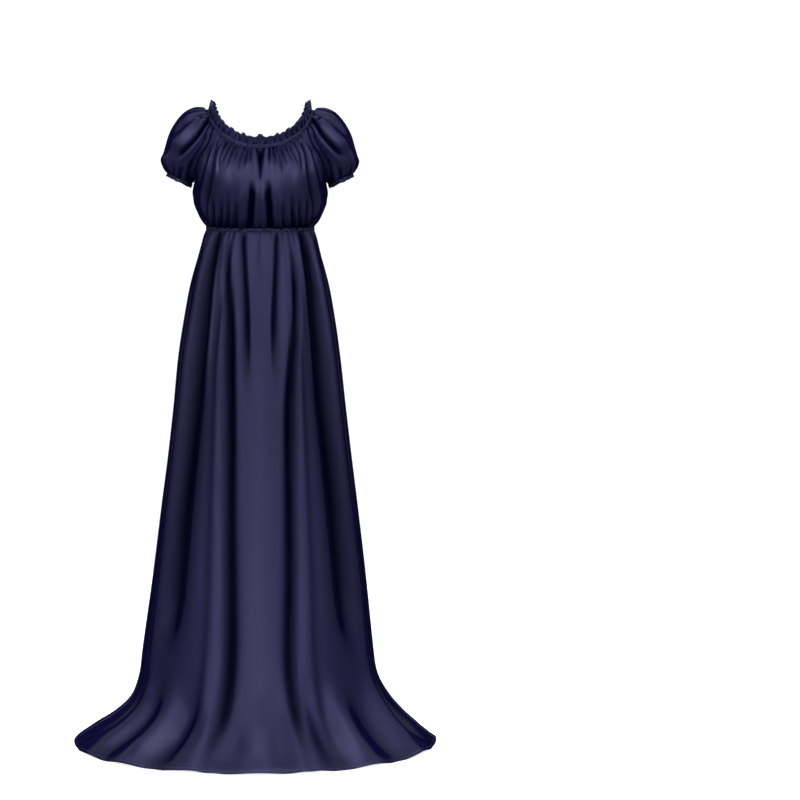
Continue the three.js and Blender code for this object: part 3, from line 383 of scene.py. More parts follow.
def seam_curve(start, rows):
    """Centripetal curve through the points, as a dense table."""
    pts = [np.array(start, float)] + [np.array(r, float) for r in rows] + [UNDERARM]
    pts = [2 * pts[0] - pts[1]] + pts + [2 * pts[-1] - pts[-2]]
    out = []
    for i in range(1, len(pts) - 2):
        p0, p1, p2, p3 = pts[i - 1 : i + 3]
        d0, d1, d2 = (max(np.linalg.norm(b - a), 1e-4) ** 0.5 for a, b in ((p0, p1), (p1, p2), (p2, p3)))
        t1 = ((p1 - p0) / d0 - (p2 - p0) / (d0 + d1) + (p2 - p1) / d1) * d1
        t2 = ((p2 - p1) / d1 - (p3 - p1) / (d1 + d2) + (p3 - p2) / d2) * d1
        w = np.linspace(0, 1, 60, endpoint=False)
        out.append(hermite(p1, t1, p2, t2, w))
    out.append(pts[-2][None])
    return np.concatenate(out)


_raglan_f = seam_curve(neck_lower(RAGLAN_F), RAGLAN_FRONT)
_raglan_b = seam_curve(neck_lower(RAGLAN_B), RAGLAN_BACK)


def raglan(front, k):
    c = _raglan_f if front else _raglan_b
    g = np.linspace(0, 1, len(c))
    k = np.asarray(k, float)
    return np.stack([np.interp(k, g, c[:, i]) for i in range(3)], -1)


# ------------------------------------------------------------------------ waist
def waist_point(angle, up=0.0):
    angle = np.asarray(angle, float)
    c, s = np.cos(angle), np.sin(angle)
    z = WAIST_SIDE + np.where(c > 0, WAIST_FRONT - WAIST_SIDE, WAIST_BACK - WAIST_SIDE) * c * c
    return stack(WAIST_W * s, -WAIST_D * c, z + up)


def waist_normal(angle):
    return unit(stack(np.sin(angle) / WAIST_W, -np.cos(angle) / WAIST_D, 0))


# ----------------------------------------------------------------------- panels
def side_line(front, v):
    v = np.asarray(v, float)
    rag = 1 - SIDE_SHARE
    low = waist_point(math.pi / 2, CASING / 2)
    drop = UNDERARM[2] - low[2]
    side = hermite(
        UNDERARM,
        np.array([SIDE_SWELL, 0, -drop * SIDE_FALL]),
        low,
        np.array([-SIDE_BLOUSE, 0, -drop * SIDE_LAND]),
        np.clip((v - rag) / SIDE_SHARE, 0, 1),
    )
    return np.where((v <= rag)[..., None], raglan(front, np.clip(v / rag, 0, 1)), side)


def drape(front, a, v):
    top = neck_lower(a * RAGLAN_F if front else 1 - a * (1 - RAGLAN_B))
    angle = a * math.pi / 2 if front else math.pi - a * math.pi / 2
    low = waist_point(angle, CASING / 2)
    c = table(FRONT_COLUMNS if front else BACK_COLUMNS, a)
    drop = top[..., 2] - low[..., 2]
    out = -1 if front else 1
    return hermite(
        top,
        stack(c[..., 0], out * c[..., 1], -drop * c[..., 2]),
        low,
        stack(-c[..., 3], -out * c[..., 4], -drop * c[..., 5]),
        v,
    )


def bodice(front, a, v):
    """The left half of a panel."""
    g = np.linspace(0, 1, 801)
    pull = side_line(front, g) - drape(front, np.ones_like(g), g)
    # Away from the seam the pull is smoothed, so that the underarm leaves no crease.
    k = np.exp(-0.5 * (np.linspace(-3, 3, 361)) ** 2)
    k /= k.sum()
    odd = np.concatenate([-pull[180:0:-1], pull, -pull[-2:-182:-1]])
    soft = np.stack([np.convolve(odd[:, i], k, "valid") for i in range(3)], -1)
    at = lambda c: np.stack([np.interp(v, g, c[:, i]) for i in range(3)], -1)
    m = ease(0.0, 0.3, 1 - a)[..., None]
    return drape(front, a, v) + (a**3)[..., None] * ((1 - m) * at(pull) + m * at(soft))


def armhole(f):
    f = np.asarray(f, float)
    k = (f - ARM_FRONT) / (ARM_BACK - ARM_FRONT)
    top = neck_lower(RAGLAN_F + np.clip(k, 0, 1) * (RAGLAN_B - RAGLAN_F))
    fr = raglan(True, np.clip(1 - f / ARM_FRONT, 0, 1))
    bk = raglan(False, np.clip((f - ARM_BACK) / (1 - ARM_BACK), 0, 1))
    return np.where((f <= ARM_FRONT)[..., None], fr, np.where((f >= ARM_BACK)[..., None], bk, top))


CUFF_OUT = np.array([math.cos(CUFF_TILT), 0, math.sin(CUFF_TILT)])
CUFF_DOWN = np.array([math.sin(CUFF_TILT), 0, -math.cos(CUFF_TILT)])


def cuff_frame(f):
    f = np.asarray(f, float)
    a = np.where(f < 0.47, math.pi * f / 0.47, math.pi + math.pi * (f - 0.47) / 0.53)
    c, s = np.cos(a)[..., None], np.sin(a)[..., None]
    y = np.array([0, 1.0, 0])
    p = CUFF_AT - c * CUFF_W * CUFF_OUT - s * CUFF_D * y
    n = unit(-c / CUFF_W * CUFF_OUT - s / CUFF_D * y)
    return p, n


def sleeve(f, w):
    g = f % 1.0
    c = table(SLEEVE_COLUMNS, g)
    return hermite(
        armhole(g),
        stack(c[..., 0], -c[..., 1], c[..., 2]),
        cuff_frame(g)[0],
        stack(c[..., 3], -c[..., 4], c[..., 5]),
        w,
    )


def skirt(angle, h):
    top = waist_point(angle, -CASING / 2)
    hem = SKIRT[-1][0]
    z = hem + (top[..., 2] - hem) * h
    r = table(SKIRT, np.minimum(z, SKIRT[0][0]))
    s, c = np.sin(angle), np.cos(angle)
    half = np.where(s < 0, r[..., 0], r[..., 1])
    # The two half-widths meet smoothly at the middle of the front and back.
    half = half + (0.5 * (r[..., 0] + r[..., 1]) - half) * np.exp(-((s / 0.25) ** 2))
    deep = np.where(c > 0, r[..., 2], r[..., 3])
    deep = deep + (0.5 * (r[..., 2] + r[..., 3]) - deep) * np.exp(-((c / 0.25) ** 2))
    return stack(half * s, -deep * c, z)


# ----------------------------------------------------------------- mesh builder
def to_row(p):
    q = np.asarray(p, float).reshape(-1, 3) * 1e-3
    q[:, 2] -= HOLD * 1e-3
    return q


def build(name, verts, quads, uv, stitch, material, thick=1.0, hint=None, deep=None):
    """A thin shell from points (mm above the floor), quads, uv in mm and, for each
    point, its distance from a line of stitches and its place along it, and how much
    painted shade it gets, from 0 to 1, which darkens its colour and shine."""
    co = to_row(verts)
    quads = np.asarray(quads, int)
    if hint is not None:
        a, b, c, d = (co[quads[:, i]] for i in range(4))
        n = np.cross(c - a, d - b)
        if (n * np.asarray(hint).reshape(-1, 3)[quads[:, 0]]).sum() < 0:
            quads = quads[:, ::-1]
    me = bpy.data.meshes.new(name)
    me.vertices.add(len(co))
    me.vertices.foreach_set("co", co.astype(np.float32).ravel())
    me.loops.add(quads.size)
    me.loops.foreach_set("vertex_index", quads.ravel().astype(np.int32))
    me.polygons.add(len(quads))
    me.polygons.foreach_set("loop_start", (np.arange(len(quads)) * 4).astype(np.int32))
    me.update(calc_edges=True)
    me.polygons.foreach_set("use_smooth", np.ones(len(quads), bool))
    layer = me.uv_layers.new(name="UVMap")
    uvs = np.asarray(uv, float).reshape(-1, 2) * 1e-3
    layer.data.foreach_set("uv", uvs[quads.ravel()].astype(np.float32).ravel())
    st = np.asarray(stitch, float).reshape(-1, 2)
    for i, attr in enumerate(("stitch_off", "stitch_run")):
        data = me.attributes.new(attr, "FLOAT", "POINT")
        data.data.foreach_set("value", st[:, i].astype(np.float32))
    # Painted shade, stored for the material to darken colour and shine.
    if deep is not None:
        data = me.attributes.new("painted_shade", "FLOAT", "POINT")
        data.data.foreach_set("value", np.asarray(deep, float).ravel().astype(np.float32))
    me.validate()
    ob = bpy.data.objects.new(name, me)
    bpy.context.scene.collection.objects.link(ob)
    me.materials.append(material)
    if thick:
        mod = ob.modifiers.new("cloth", "SOLIDIFY")
        mod.thickness = thick * 1e-3
        mod.offset = 0
    return ob


def grid_quads(rows, cols, around=False):
    j = np.arange(cols if around else cols - 1)
    k = (j + 1) % cols
    i = np.arange(rows - 1)[:, None]
    q = np.stack([i * cols + j, i * cols + k, (i + 1) * cols + k, (i + 1) * cols + j], -1)
    return q.reshape(-1, 4)


NO_STITCH = 99.0


def no_stitch(shape):
    return np.stack([np.full(shape, NO_STITCH), np.zeros(shape)], -1)


# -------------------------------------------------------------------- materials
SHINE = 1.0


def satin(name, dark, light, rough, bump, crease=0.0):
    m = bpy.data.materials.new(name)
    m.use_nodes = True
    nt = m.node_tree
    nt.nodes.clear()
    N = nt.nodes.new
    L = nt.links.new

    def math_node(op, a, b=None, c=None):
        n = N("ShaderNodeMath")
        n.operation = op
        for i, v in enumerate((a, b, c)):
            if v is None:
                continue
            if isinstance(v, (int, float)):
                n.inputs[i].default_value = v
            else:
                L(v, n.inputs[i])
        return n.outputs[0]

    out = N("ShaderNodeOutputMaterial")
    bsdf = N("ShaderNodeBsdfPrincipled")
    L(bsdf.outputs[0], out.inputs[0])
    uv = N("ShaderNodeUVMap")
    uv.uv_map = "UVMap"
    obj = N("ShaderNodeTexCoord")

    # Slow change of tone over the cloth.
    slow = N("ShaderNodeTexNoise")
    slow.inputs["Scale"].default_value = 5.0
    slow.inputs["Detail"].default_value = 3.0
    L(obj.outputs["Object"], slow.inputs["Vector"])
    # Slubs: threads that run down the cloth, a little lighter or darker.
    stretch = N("ShaderNodeMapping")
    stretch.inputs["Scale"].default_value = (900, 26, 1)
    L(uv.outputs[0], stretch.inputs["Vector"])
    slub = N("ShaderNodeTexNoise")
    slub.inputs["Scale"].default_value = 1.0
    slub.inputs["Detail"].default_value = 2.0
    L(stretch.outputs[0], slub.inputs["Vector"])
    tone = math_node("ADD", math_node("MULTIPLY", slow.outputs["Fac"], 0.7), math_node("MULTIPLY", slub.outputs["Fac"], 0.3))
    ramp = N("ShaderNodeValToRGB")
    ramp.color_ramp.elements[0].position = 0.3
    ramp.color_ramp.elements[0].color = (*dark, 1)
    ramp.color_ramp.elements[1].position = 0.7
    ramp.color_ramp.elements[1].color = (*light, 1)
    L(tone, ramp.inputs["Fac"])

    # Painted shade: where little light gets into a deep fold, or out of it, a point attribute darkens the base colour
    # and cuts the shine.
    deep = N("ShaderNodeAttribute")
    deep.attribute_name = "painted_shade"
    shine_after_painted_shade = math_node("SUBTRACT", 1.0, math_node("MULTIPLY", deep.outputs["Fac"], 0.95))
    shade = math_node("SUBTRACT", 1.0, math_node("MULTIPLY", deep.outputs["Fac"], 0.72))
    # Seen at a slant, the floats of the weave hide their shine.
    facing = N("ShaderNodeLayerWeight")
    facing.inputs["Blend"].default_value = 0.5
    slant = N("ShaderNodeMapRange")
    slant.interpolation_type = "SMOOTHSTEP"
    slant.inputs["From Min"].default_value = 0.12
    slant.inputs["From Max"].default_value = 0.62
    slant.inputs["To Min"].default_value = 1.0
    slant.inputs["To Max"].default_value = 0.0
    L(facing.outputs["Facing"], slant.inputs["Value"])
    # The shine is cut by the painted shade as well.
    shine = math_node("MULTIPLY", math_node("MULTIPLY", slant.outputs["Result"], shine_after_painted_shade), SHINE)

    # Stitches: short dashes along the piece's stitch line.
    off = N("ShaderNodeAttribute")
    off.attribute_name = "stitch_off"
    run = N("ShaderNodeAttribute")
    run.attribute_name = "stitch_run"
    close = math_node("LESS_THAN", math_node("ABSOLUTE", off.outputs["Fac"]), 0.5)
    dash = math_node("LESS_THAN", math_node("FRACT", math_node("DIVIDE", run.outputs["Fac"], 3.4)), 0.62)
    mask = math_node("MULTIPLY", close, dash)
    mix = N("ShaderNodeMix")
    mix.data_type = "RGBA"
    L(mask, mix.inputs["Factor"])
    L(ramp.outputs["Color"], mix.inputs["A"])
    mix.inputs["B"].default_value = (0.09, 0.085, 0.19, 1)
    dim = N("ShaderNodeVectorMath")
    dim.operation = "SCALE"
    L(mix.outputs["Result"], dim.inputs[0])
    L(shade, dim.inputs["Scale"])
    L(dim.outputs["Vector"], bsdf.inputs["Base Color"])

    # Satin weave: fine floats along the warp and a finer weft.
    weave_map = N("ShaderNodeMapping")
    weave_map.inputs["Scale"].default_value = (1500, 420, 1)
    L(uv.outputs[0], weave_map.inputs["Vector"])
    weave = N("ShaderNodeTexVoronoi")
    weave.inputs["Scale"].default_value = 1.0
    L(weave_map.outputs[0], weave.inputs["Vector"])
    height = math_node("ADD", math_node("MULTIPLY", weave.outputs["Distance"], 0.6), math_node("MULTIPLY", slub.outputs["Fac"], 0.4))
    b1 = N("ShaderNodeBump")
    b1.inputs["Strength"].default_value = bump
    b1.inputs["Distance"].default_value = 0.0002
    L(height, b1.inputs["Height"])
    # Soft unevenness of a worn, steamed cloth.
    soft = N("ShaderNodeTexNoise")
    soft.inputs["Scale"].default_value = 38.0
    soft.inputs["Detail"].default_value = 2.0
    L(obj.outputs["Object"], soft.inputs["Vector"])
    b2 = N("ShaderNodeBump")
    b2.inputs["Strength"].default_value = 0.12 + crease
    b2.inputs["Distance"].default_value = 0.0035
    L(soft.outputs["Fac"], b2.inputs["Height"])
    L(b1.outputs[0], b2.inputs["Normal"])
    # A stitch sinks into the cloth around it.
    b3 = N("ShaderNodeBump")
    b3.inputs["Strength"].default_value = 0.5
    b3.inputs["Distance"].default_value = 0.0006
    groove = math_node("SUBTRACT", 1.0, math_node("MINIMUM", math_node("DIVIDE", math_node("ABSOLUTE", off.outputs["Fac"]), 1.6), 1.0))
    L(math_node("MULTIPLY", groove, -1.0), b3.inputs["Height"])
    L(b2.outputs[0], b3.inputs["Normal"])
    L(b3.outputs[0], bsdf.inputs["Normal"])

    L(math_node("ADD", rough - 0.05, math_node("MULTIPLY", slow.outputs["Fac"], 0.1)), bsdf.inputs["Roughness"])
    L(shine, bsdf.inputs["Specular IOR Level"])
    bsdf.inputs["Specular Tint"].default_value = (0.52, 0.52, 1.0, 1)
    bsdf.inputs["Sheen Weight"].default_value = 0.03
    bsdf.inputs["Sheen Roughness"].default_value = 0.35
    bsdf.inputs["Sheen Tint"].default_value = (0.32, 0.32, 0.62, 1)
    bsdf.inputs["Anisotropic"].default_value = 0.0
    return m


SATIN_FRONT = satin("satin_front", (0.0034, 0.0030, 0.034), (0.0058, 0.0052, 0.048), 0.48, 0.18)
SATIN_BACK = satin("satin_back", (0.0032, 0.0036, 0.034), (0.0052, 0.0062, 0.048), 0.48, 0.18)
SATIN_SLEEVE = satin("satin_sleeve", (0.0036, 0.0032, 0.035), (0.0062, 0.0056, 0.050), 0.48, 0.18, 0.03)
SATIN_RUFFLE = satin("satin_ruffle", (0.0038, 0.0034, 0.036), (0.0066, 0.0060, 0.052), 0.46, 0.2, 0.05)
SATIN_CASING = satin("satin_casing", (0.0028, 0.0025, 0.028), (0.0050, 0.0045, 0.042), 0.48, 0.25, 0.1)
SATIN_SKIRT = satin("satin_skirt", (0.0031, 0.0028, 0.032), (0.0052, 0.0047, 0.045), 0.5, 0.18)
CORD = satin("satin_cord", (0.0028, 0.0025, 0.025), (0.0048, 0.0043, 0.038), 0.46, 0.4, 0.1)


# ------------------------------------------------------------------ the pieces
def bodice_piece(front):
    cols, rows = (116, 152) if front else (100, 128)
    a1 = np.linspace(0, 1, cols + 1)
    v1 = np.linspace(0, 1, rows + 1)
    a, v = np.meshgrid(a1, v1)
    p = bodice(front, a, v)
    hint = stack(p[..., 0] + 1, p[..., 1], 25.0 + 0 * a)
    n = grid_normals(p, hint=hint)
    n[:, 0, 0] = 0
    n = unit(n)
    top_u = along(p, 1)[0][None, :]
    low_u = along(p, 1)[-1][None, :]
    s_top = along(p, 0)
    s_low = s_top[-1][None, :] - s_top
    out = []
    for side in (-1, 1):
        seed = (11 if front else 31) + (side > 0)
        rng = np.random.default_rng(seed)
        # The two halves are alike, and not the same.
        folds = []
        for pts, depth, w0, w1, fi, fo in FRONT_FOLDS if front else BACK_FOLDS:
            k = 1 if pts[0][0] > 3 else 0
            dx, dz = k * rng.normal() * 1.2, rng.normal() * 2.5
            folds.append(
                ([(x + dx, z + dz * (fo > 0)) for x, z in pts], depth * (1 + 0.14 * rng.normal() * k), w0, w1, fi, fo)
            )
        if front:
            folds += FRONT_MIDDLE
        q = p[..., [0, 2]]
        d = fold_field(q, folds)
        u_len = top_u.max()
        g = gathers(top_u + 0 * a, s_top, u_len, 6.2, 1.5, seed + 50, 9, 58, 1.9)
        g += gathers(top_u + 0 * a, s_top, u_len, 13, 1.8, seed + 60, 30, 105, 3.2)
        g += gathers(low_u + 0 * a, s_low, low_u.max(), 6.4, 1.4, seed + 70, 8, 46, 2.0)
        g += gathers(low_u + 0 * a, s_low, low_u.max(), 13, 1.8, seed + 75, 25, 80, 3.2)
        # Painted shade in the valleys between the gathers.
        between = 0.6 * np.clip(-g / 2.6, 0, 1)
        d += g
        # The cloth lies flat at its raglan and side seam, with a slight ridge beside it.
        edge = along(p, 1)
        edge = edge[:, -1:] - edge
        d *= ease(0, 20, edge)
        d += -0.9 * np.exp(-((edge / 2.2) ** 2)) + 0.7 * np.exp(-(((edge - 5.0) / 2.6) ** 2))
        d += 0.5 * np.sin(s_top * 0.16 + 3 * np.sin(s_top * 0.031)) * np.exp(-((edge / 9) ** 2)) * ease(0, 5, edge)
        if not front:
            # The elastic holds the gathers close behind the neck.
            d *= 0.2 + 0.8 * ease(0, 10, s_top)
        # It goes under the casings.
        d -= 1.0 * np.exp(-s_top / 2.2) + 1.0 * np.exp(-s_low / 2.2)
        pp = p + n * d[..., None]
        pp[0] += unit(p[0] - p[1]) * 3.5
        pp[-1] += unit(p[-1] - p[-2]) * 3.5
        if front:
            half = np.where(v < SLIT_END, table(SLIT, np.clip(v / SLIT_END, 0, 1))[..., 0], 0)
            pp[..., 0] += half * np.exp(-((p[..., 0] / 22) ** 2))
            # Rolled edge beside the slit.
            inner = np.exp(-((p[..., 0] / 3.2) ** 2)) * (half > 0.05)
            pp += n * (-2.2 * inner * np.minimum(1, half / 3))[..., None]
            pp += n * (1.6 * np.exp(-(((p[..., 0] - 6) / 4.5) ** 2)) * np.minimum(1, half / 2.5))[..., None]
        if side < 0:
            pp = pp * np.array([-1, 1, 1])
        # Painted shade: darker in fold valleys, between gathers and on the underside, where the blouse hangs over the
        # waist and gets less light.
        deep = np.clip((g - d) / 6.5, 0, 1) + between + 0.35 * (1 - ease(6, 46, s_low)) + 0.25 * (1 - ease(0, 9, s_low))
        out.append((pp, n * np.array([side, 1, 1]), edge, s_top, np.clip(deep, 0, 1)))
    (pr, nr, er, _, gr), (pl, nl, el, st, gl) = out
    count = pl.shape[0] * pl.shape[1]
    index_l = np.arange(count).reshape(pl.shape[:2])
    index_r = index_l + count
    joined = (v1 >= SLIT_END) if front else np.ones(rows + 1, bool)
    pm = 0.5 * (pr[:, 0] + pl[:, 0])
    pl[joined, 0] = pm[joined]
    pr[joined, 0] = pm[joined]
    index_r[joined, 0] = index_l[joined, 0]
    quads = []
    for idx in (index_l, index_r):
        quads.append(np.stack([idx[:-1, :-1], idx[:-1, 1:], idx[1:, 1:], idx[1:, :-1]], -1).reshape(-1, 4))
    quads[1] = quads[1][:, ::-1]
    verts = np.concatenate([pl.reshape(-1, 3), pr.reshape(-1, 3)])
    hints = np.concatenate([nl.reshape(-1, 3), nr.reshape(-1, 3)])
    width = along(p, 1)
    uv = np.concatenate([np.stack([width, st], -1).reshape(-1, 2), np.stack([-width, st], -1).reshape(-1, 2)])
    # Topstitching beside the raglan seam.
    run = st + 0 * width
    stitch = np.stack([el - 2.4, run], -1).reshape(-1, 2)
    stitch = np.concatenate([stitch, stitch])
    # Points that no face uses go.
    q = np.concatenate(quads)
    used, q = np.unique(q, return_inverse=True)
    q = q.reshape(-1, 4)
    name = "cloth_bodice_front" if front else "cloth_bodice_back"
    return build(
        name, verts[used], q, uv[used], stitch[used], SATIN_FRONT if front else SATIN_BACK, 0.9, hints[used],
        np.concatenate([gl.ravel(), gr.ravel()])[used],
    )


def sleeve_piece(side):
    cols, rows = 286, 88
    f1 = np.arange(cols) / cols
    w1 = np.linspace(0, 1, rows + 1)
    f, w = np.meshgrid(f1, w1)
    p = sleeve(f, w)
    middle = stack(CUFF_AT[0] - 20 * (1 - w), CUFF_AT[1] + 0 * w, CUFF_AT[2] + 70 * (1 - w))
    n = grid_normals(p, around=True, hint=p - middle)
    # Even out the direction near the seam's corners.
    for _ in range(6):
        n = unit(n + 0.5 * (np.roll(n, 1, 1) + np.roll(n, -1, 1)))
    s_top = along(p, 0)
    s_low = s_top[-1][None, :] - s_top
    loop = np.concatenate([p[:, :], p[:, :1]], 1)
    ring = along(loop, 1)[:, :-1]
    rng = np.random.default_rng(70 + side)
    q = p[..., [0, 2]]

    def vary(folds):
        out = []
        for pts, depth, w0, w1_, fi, fo in folds:
            dx, dz = rng.normal() * 1.5, rng.normal() * 1.5
            out.append(([(x + dx, z + dz) for x, z in pts], depth * (1 + 0.12 * rng.normal()), w0, w1_, fi, fo))
        return out

    is_front = np.clip(0.5 - n[..., 1] * 2.2, 0, 1)
    d = fold_field(q, vary(SLEEVE_FRONT)) * is_front
    d += fold_field(q, vary(SLEEVE_BACK)) * (1 - is_front)
    casing_run = (f1 > ARM_FRONT - 0.02) & (f1 < ARM_BACK + 0.02)
    start = ring[0][np.argmax(casing_run)]
    stop = ring[0][len(f1) - 1 - np.argmax(casing_run[::-1])]
    at_casing = ease(ARM_FRONT - 0.03, ARM_FRONT + 0.01, f) * (1 - ease(ARM_BACK - 0.01, ARM_BACK + 0.03, f))
    u = ring[0][None, :] - start + 0 * f
    plain = d.copy()
    d += at_casing * gathers(u, s_top, stop - start, 6.4, 1.7, 80 + side, 16, 80, 2.0, spread=0.02)
    d += at_casing * gathers(u, s_top, stop - start, 15, 2.2, 84 + side, 40, 130, 3.4, spread=0.018)
    cu = ring[-1][None, :] + 0 * f
    total = ring[-1].max() + 3
    d += gathers(cu, s_low, total, 7.6, 1.7, 90 + side, 9, 44, 2.3, spread=0.03, around=True)
    d += gathers(cu, s_low, total, 17, 2.0, 94 + side, 25, 70, 3.6, spread=0.03, around=True)
    # Painted shade in the valleys of the folds and gathers.
    deep = np.clip(-plain / 7.0, 0, 1) + 0.55 * np.clip((plain - d) / 3.0, 0, 1)
    # Full at the shoulder, right from the casing.
    over = np.exp(-(((f - 0.455) / 0.06) ** 2))
    d += over * (5.5 * np.exp(-(((s_top - 6) / 7) ** 2)) - 2.6 * np.exp(-(((s_top - 32) / 17) ** 2)))
    # The outer, lower part hangs out over the cuff.
    low = np.exp(-(((p[..., 2] - 1318) / 20) ** 2)) * ease(195, 214, p[..., 0])
    d += 4.0 * low - 1.6 * np.exp(-(((p[..., 2] - 1362) / 20) ** 2)) * ease(180, 205, p[..., 0])
    under = 1 - ease(0.03, 0.13, np.minimum(f, 1 - f))
    seam_part = 1 - at_casing
    d *= 1 - seam_part * (1 - ease(0, 16, s_top))
    d *= 1 - 0.8 * under
    d += seam_part * (-0.9 * np.exp(-((s_top / 2.2) ** 2)) + 0.9 * np.exp(-(((s_top - 5) / 2.6) ** 2)))
    d -= at_casing * 1.0 * np.exp(-s_top / 2.2) + 1.0 * np.exp(-s_low / 2.0)
    pp = p + n * d[..., None]
    pp[0] += (unit(p[0] - p[1]) * 3.5) * at_casing[0][:, None]
    pp[-1] += unit(p[-1] - p[-2]) * 3.0
    k = np.array([side, 1, 1])
    uv = np.stack([ring, s_top], -1)
    stitch = no_stitch(f.shape)
    name = "cloth_sleeve_left" if side > 0 else "cloth_sleeve_right"
    # More painted shade near the cuff and under the arm.
    deep += 0.4 * (1 - ease(0, 14, s_low)) + 0.3 * under
    return build(
        name, pp * k, grid_quads(rows + 1, cols, True), uv, stitch, SATIN_SLEEVE, 0.9, n * k, np.clip(deep, 0, 1)
    )


def band(name, cols, rows, point, normal, across, height, seed, ripple, thick_mid, lines, material, edge_wave=0.4):
    """An elastic casing: a narrow band with small uneven ripples across it."""
    rng = np.random.default_rng(seed)
    t = np.arange(cols) / cols
    base = point(t)
    n = normal(t)
    loop = np.concatenate([base, base[:1]])
    length = np.linalg.norm(np.diff(loop, axis=0), axis=1).sum()
    run = np.concatenate([[0], np.cumsum(np.linalg.norm(np.diff(loop, axis=0), axis=1))])[:-1]
    count = int(length / 6.2)
    at = np.cumsum(rng.uniform(0.6, 1.4, count))
    at = (at / at[-1]) * length
    wave = np.zeros(cols)
    for c in at:
        gap = run - c
        gap -= length * np.round(gap / length)
        wave += rng.uniform(0.5, 1.2) * np.exp(-((gap / rng.uniform(1.2, 2.0)) ** 2))
    wave = 0.7 - wave
    rows_p, rows_s, rows_uv, rows_painted_shade = [], [], [], []
    for i in range(rows + 1):
        k = i / rows
        up = height * (0.5 - k)
        # Puffed between its stitch lines and pulled in at them.
        puff = thick_mid
        for line in lines:
            puff = puff - 0.75 * math.exp(-(((up - line) / 0.9) ** 2))
        puff -= 0.9 * (math.exp(-((k / 0.08) ** 2)) + math.exp(-(((1 - k) / 0.08) ** 2)))
        sway = edge_wave * np.sin(run / 3.3 + 2.2 * np.sin(run / 13.0)) * (0.7 + 0.3 * np.sin(run / 8.1))
        d = puff + ripple * wave * (0.75 + 0.25 * math.cos((k - 0.5) * TAU))
        wob = up + sway * abs(k - 0.5) ** 2 * 4
        rows_p.append(base + n * d[:, None] + across(t) * np.asarray(wob)[..., None] * -1)
        off = min(lines, key=lambda l: abs(up - l)) if lines else 1e3
        rows_s.append(np.stack([np.full(cols, (up - off) if lines else NO_STITCH), run], -1))
        rows_uv.append(np.stack([run, np.full(cols, up)], -1))
        # Painted shade in the valleys of the ripples and at the stitch lines, with a little all over.
        near = max([math.exp(-(((up - line) / 1.1) ** 2)) for line in lines] or [0])
        rows_painted_shade.append(np.clip(0.12 + 0.75 * np.clip(0.25 - wave, 0, 1) + 0.35 * near, 0, 1))
    p = np.array(rows_p)
    return build(
        name,
        p,
        grid_quads(rows + 1, cols, True),
        np.array(rows_uv),
        np.array(rows_s),
        material,
        0.9,
        np.broadcast_to(n, p.shape),
        np.array(rows_painted_shade),
    )


def neck_casing_piece():
    def frame_at(t):
        return neck_frame(t * 2 - 1)

    return band(
        "cloth_neck_casing", 1000, 10,
        lambda t: frame_at(t)[0], lambda t: frame_at(t)[2], lambda t: frame_at(t)[3],
        CASING + 1.0, 5, 1.0, 0.9, (2.7, -2.9), SATIN_CASING,
    )


def waist_casing_piece():
    down = np.array([0, 0, -1.0])
    return band(
        "cloth_waist_casing", 860, 10,
        lambda t: waist_point(t * TAU), lambda t: waist_normal(t * TAU), lambda t: down[None, :] + np.zeros((len(t), 3)),
        CASING + 1.8, 6, 1.3, 0.9, (0.0,), SATIN_CASING, 0.9,
    )


def cuff_piece(side):
    k = np.array([side, 1, 1])
    down = CUFF_DOWN
    return band(
        "cloth_cuff_left" if side > 0 else "cloth_cuff_right", 420, 10,
        lambda t: (cuff_frame(t)[0] + down * CASING / 2) * k,
        lambda t: cuff_frame(t)[1] * k,
        lambda t: (down * k)[None, :] + np.zeros((len(t), 3)),
        CASING + 0.6, 20 + side, 1.5, 0.5, (0.0,), SATIN_CASING, 1.3,
    )


# Lobes of the ruffle on the front half: middle and half-length along the casing in
# mm, and how high each stands.
RUFFLE_LOBES = [(0, 10.5, 1.0), (24, 9, 0.74), (41, 8, 0.93), (57, 7.5, 0.86), (73, 8.5, 0.97), (90, 8, 0.88),
                (107, 8.5, 0.98), (124, 8, 0.9), (141, 9, 1.0), (159, 8.5, 0.92)]


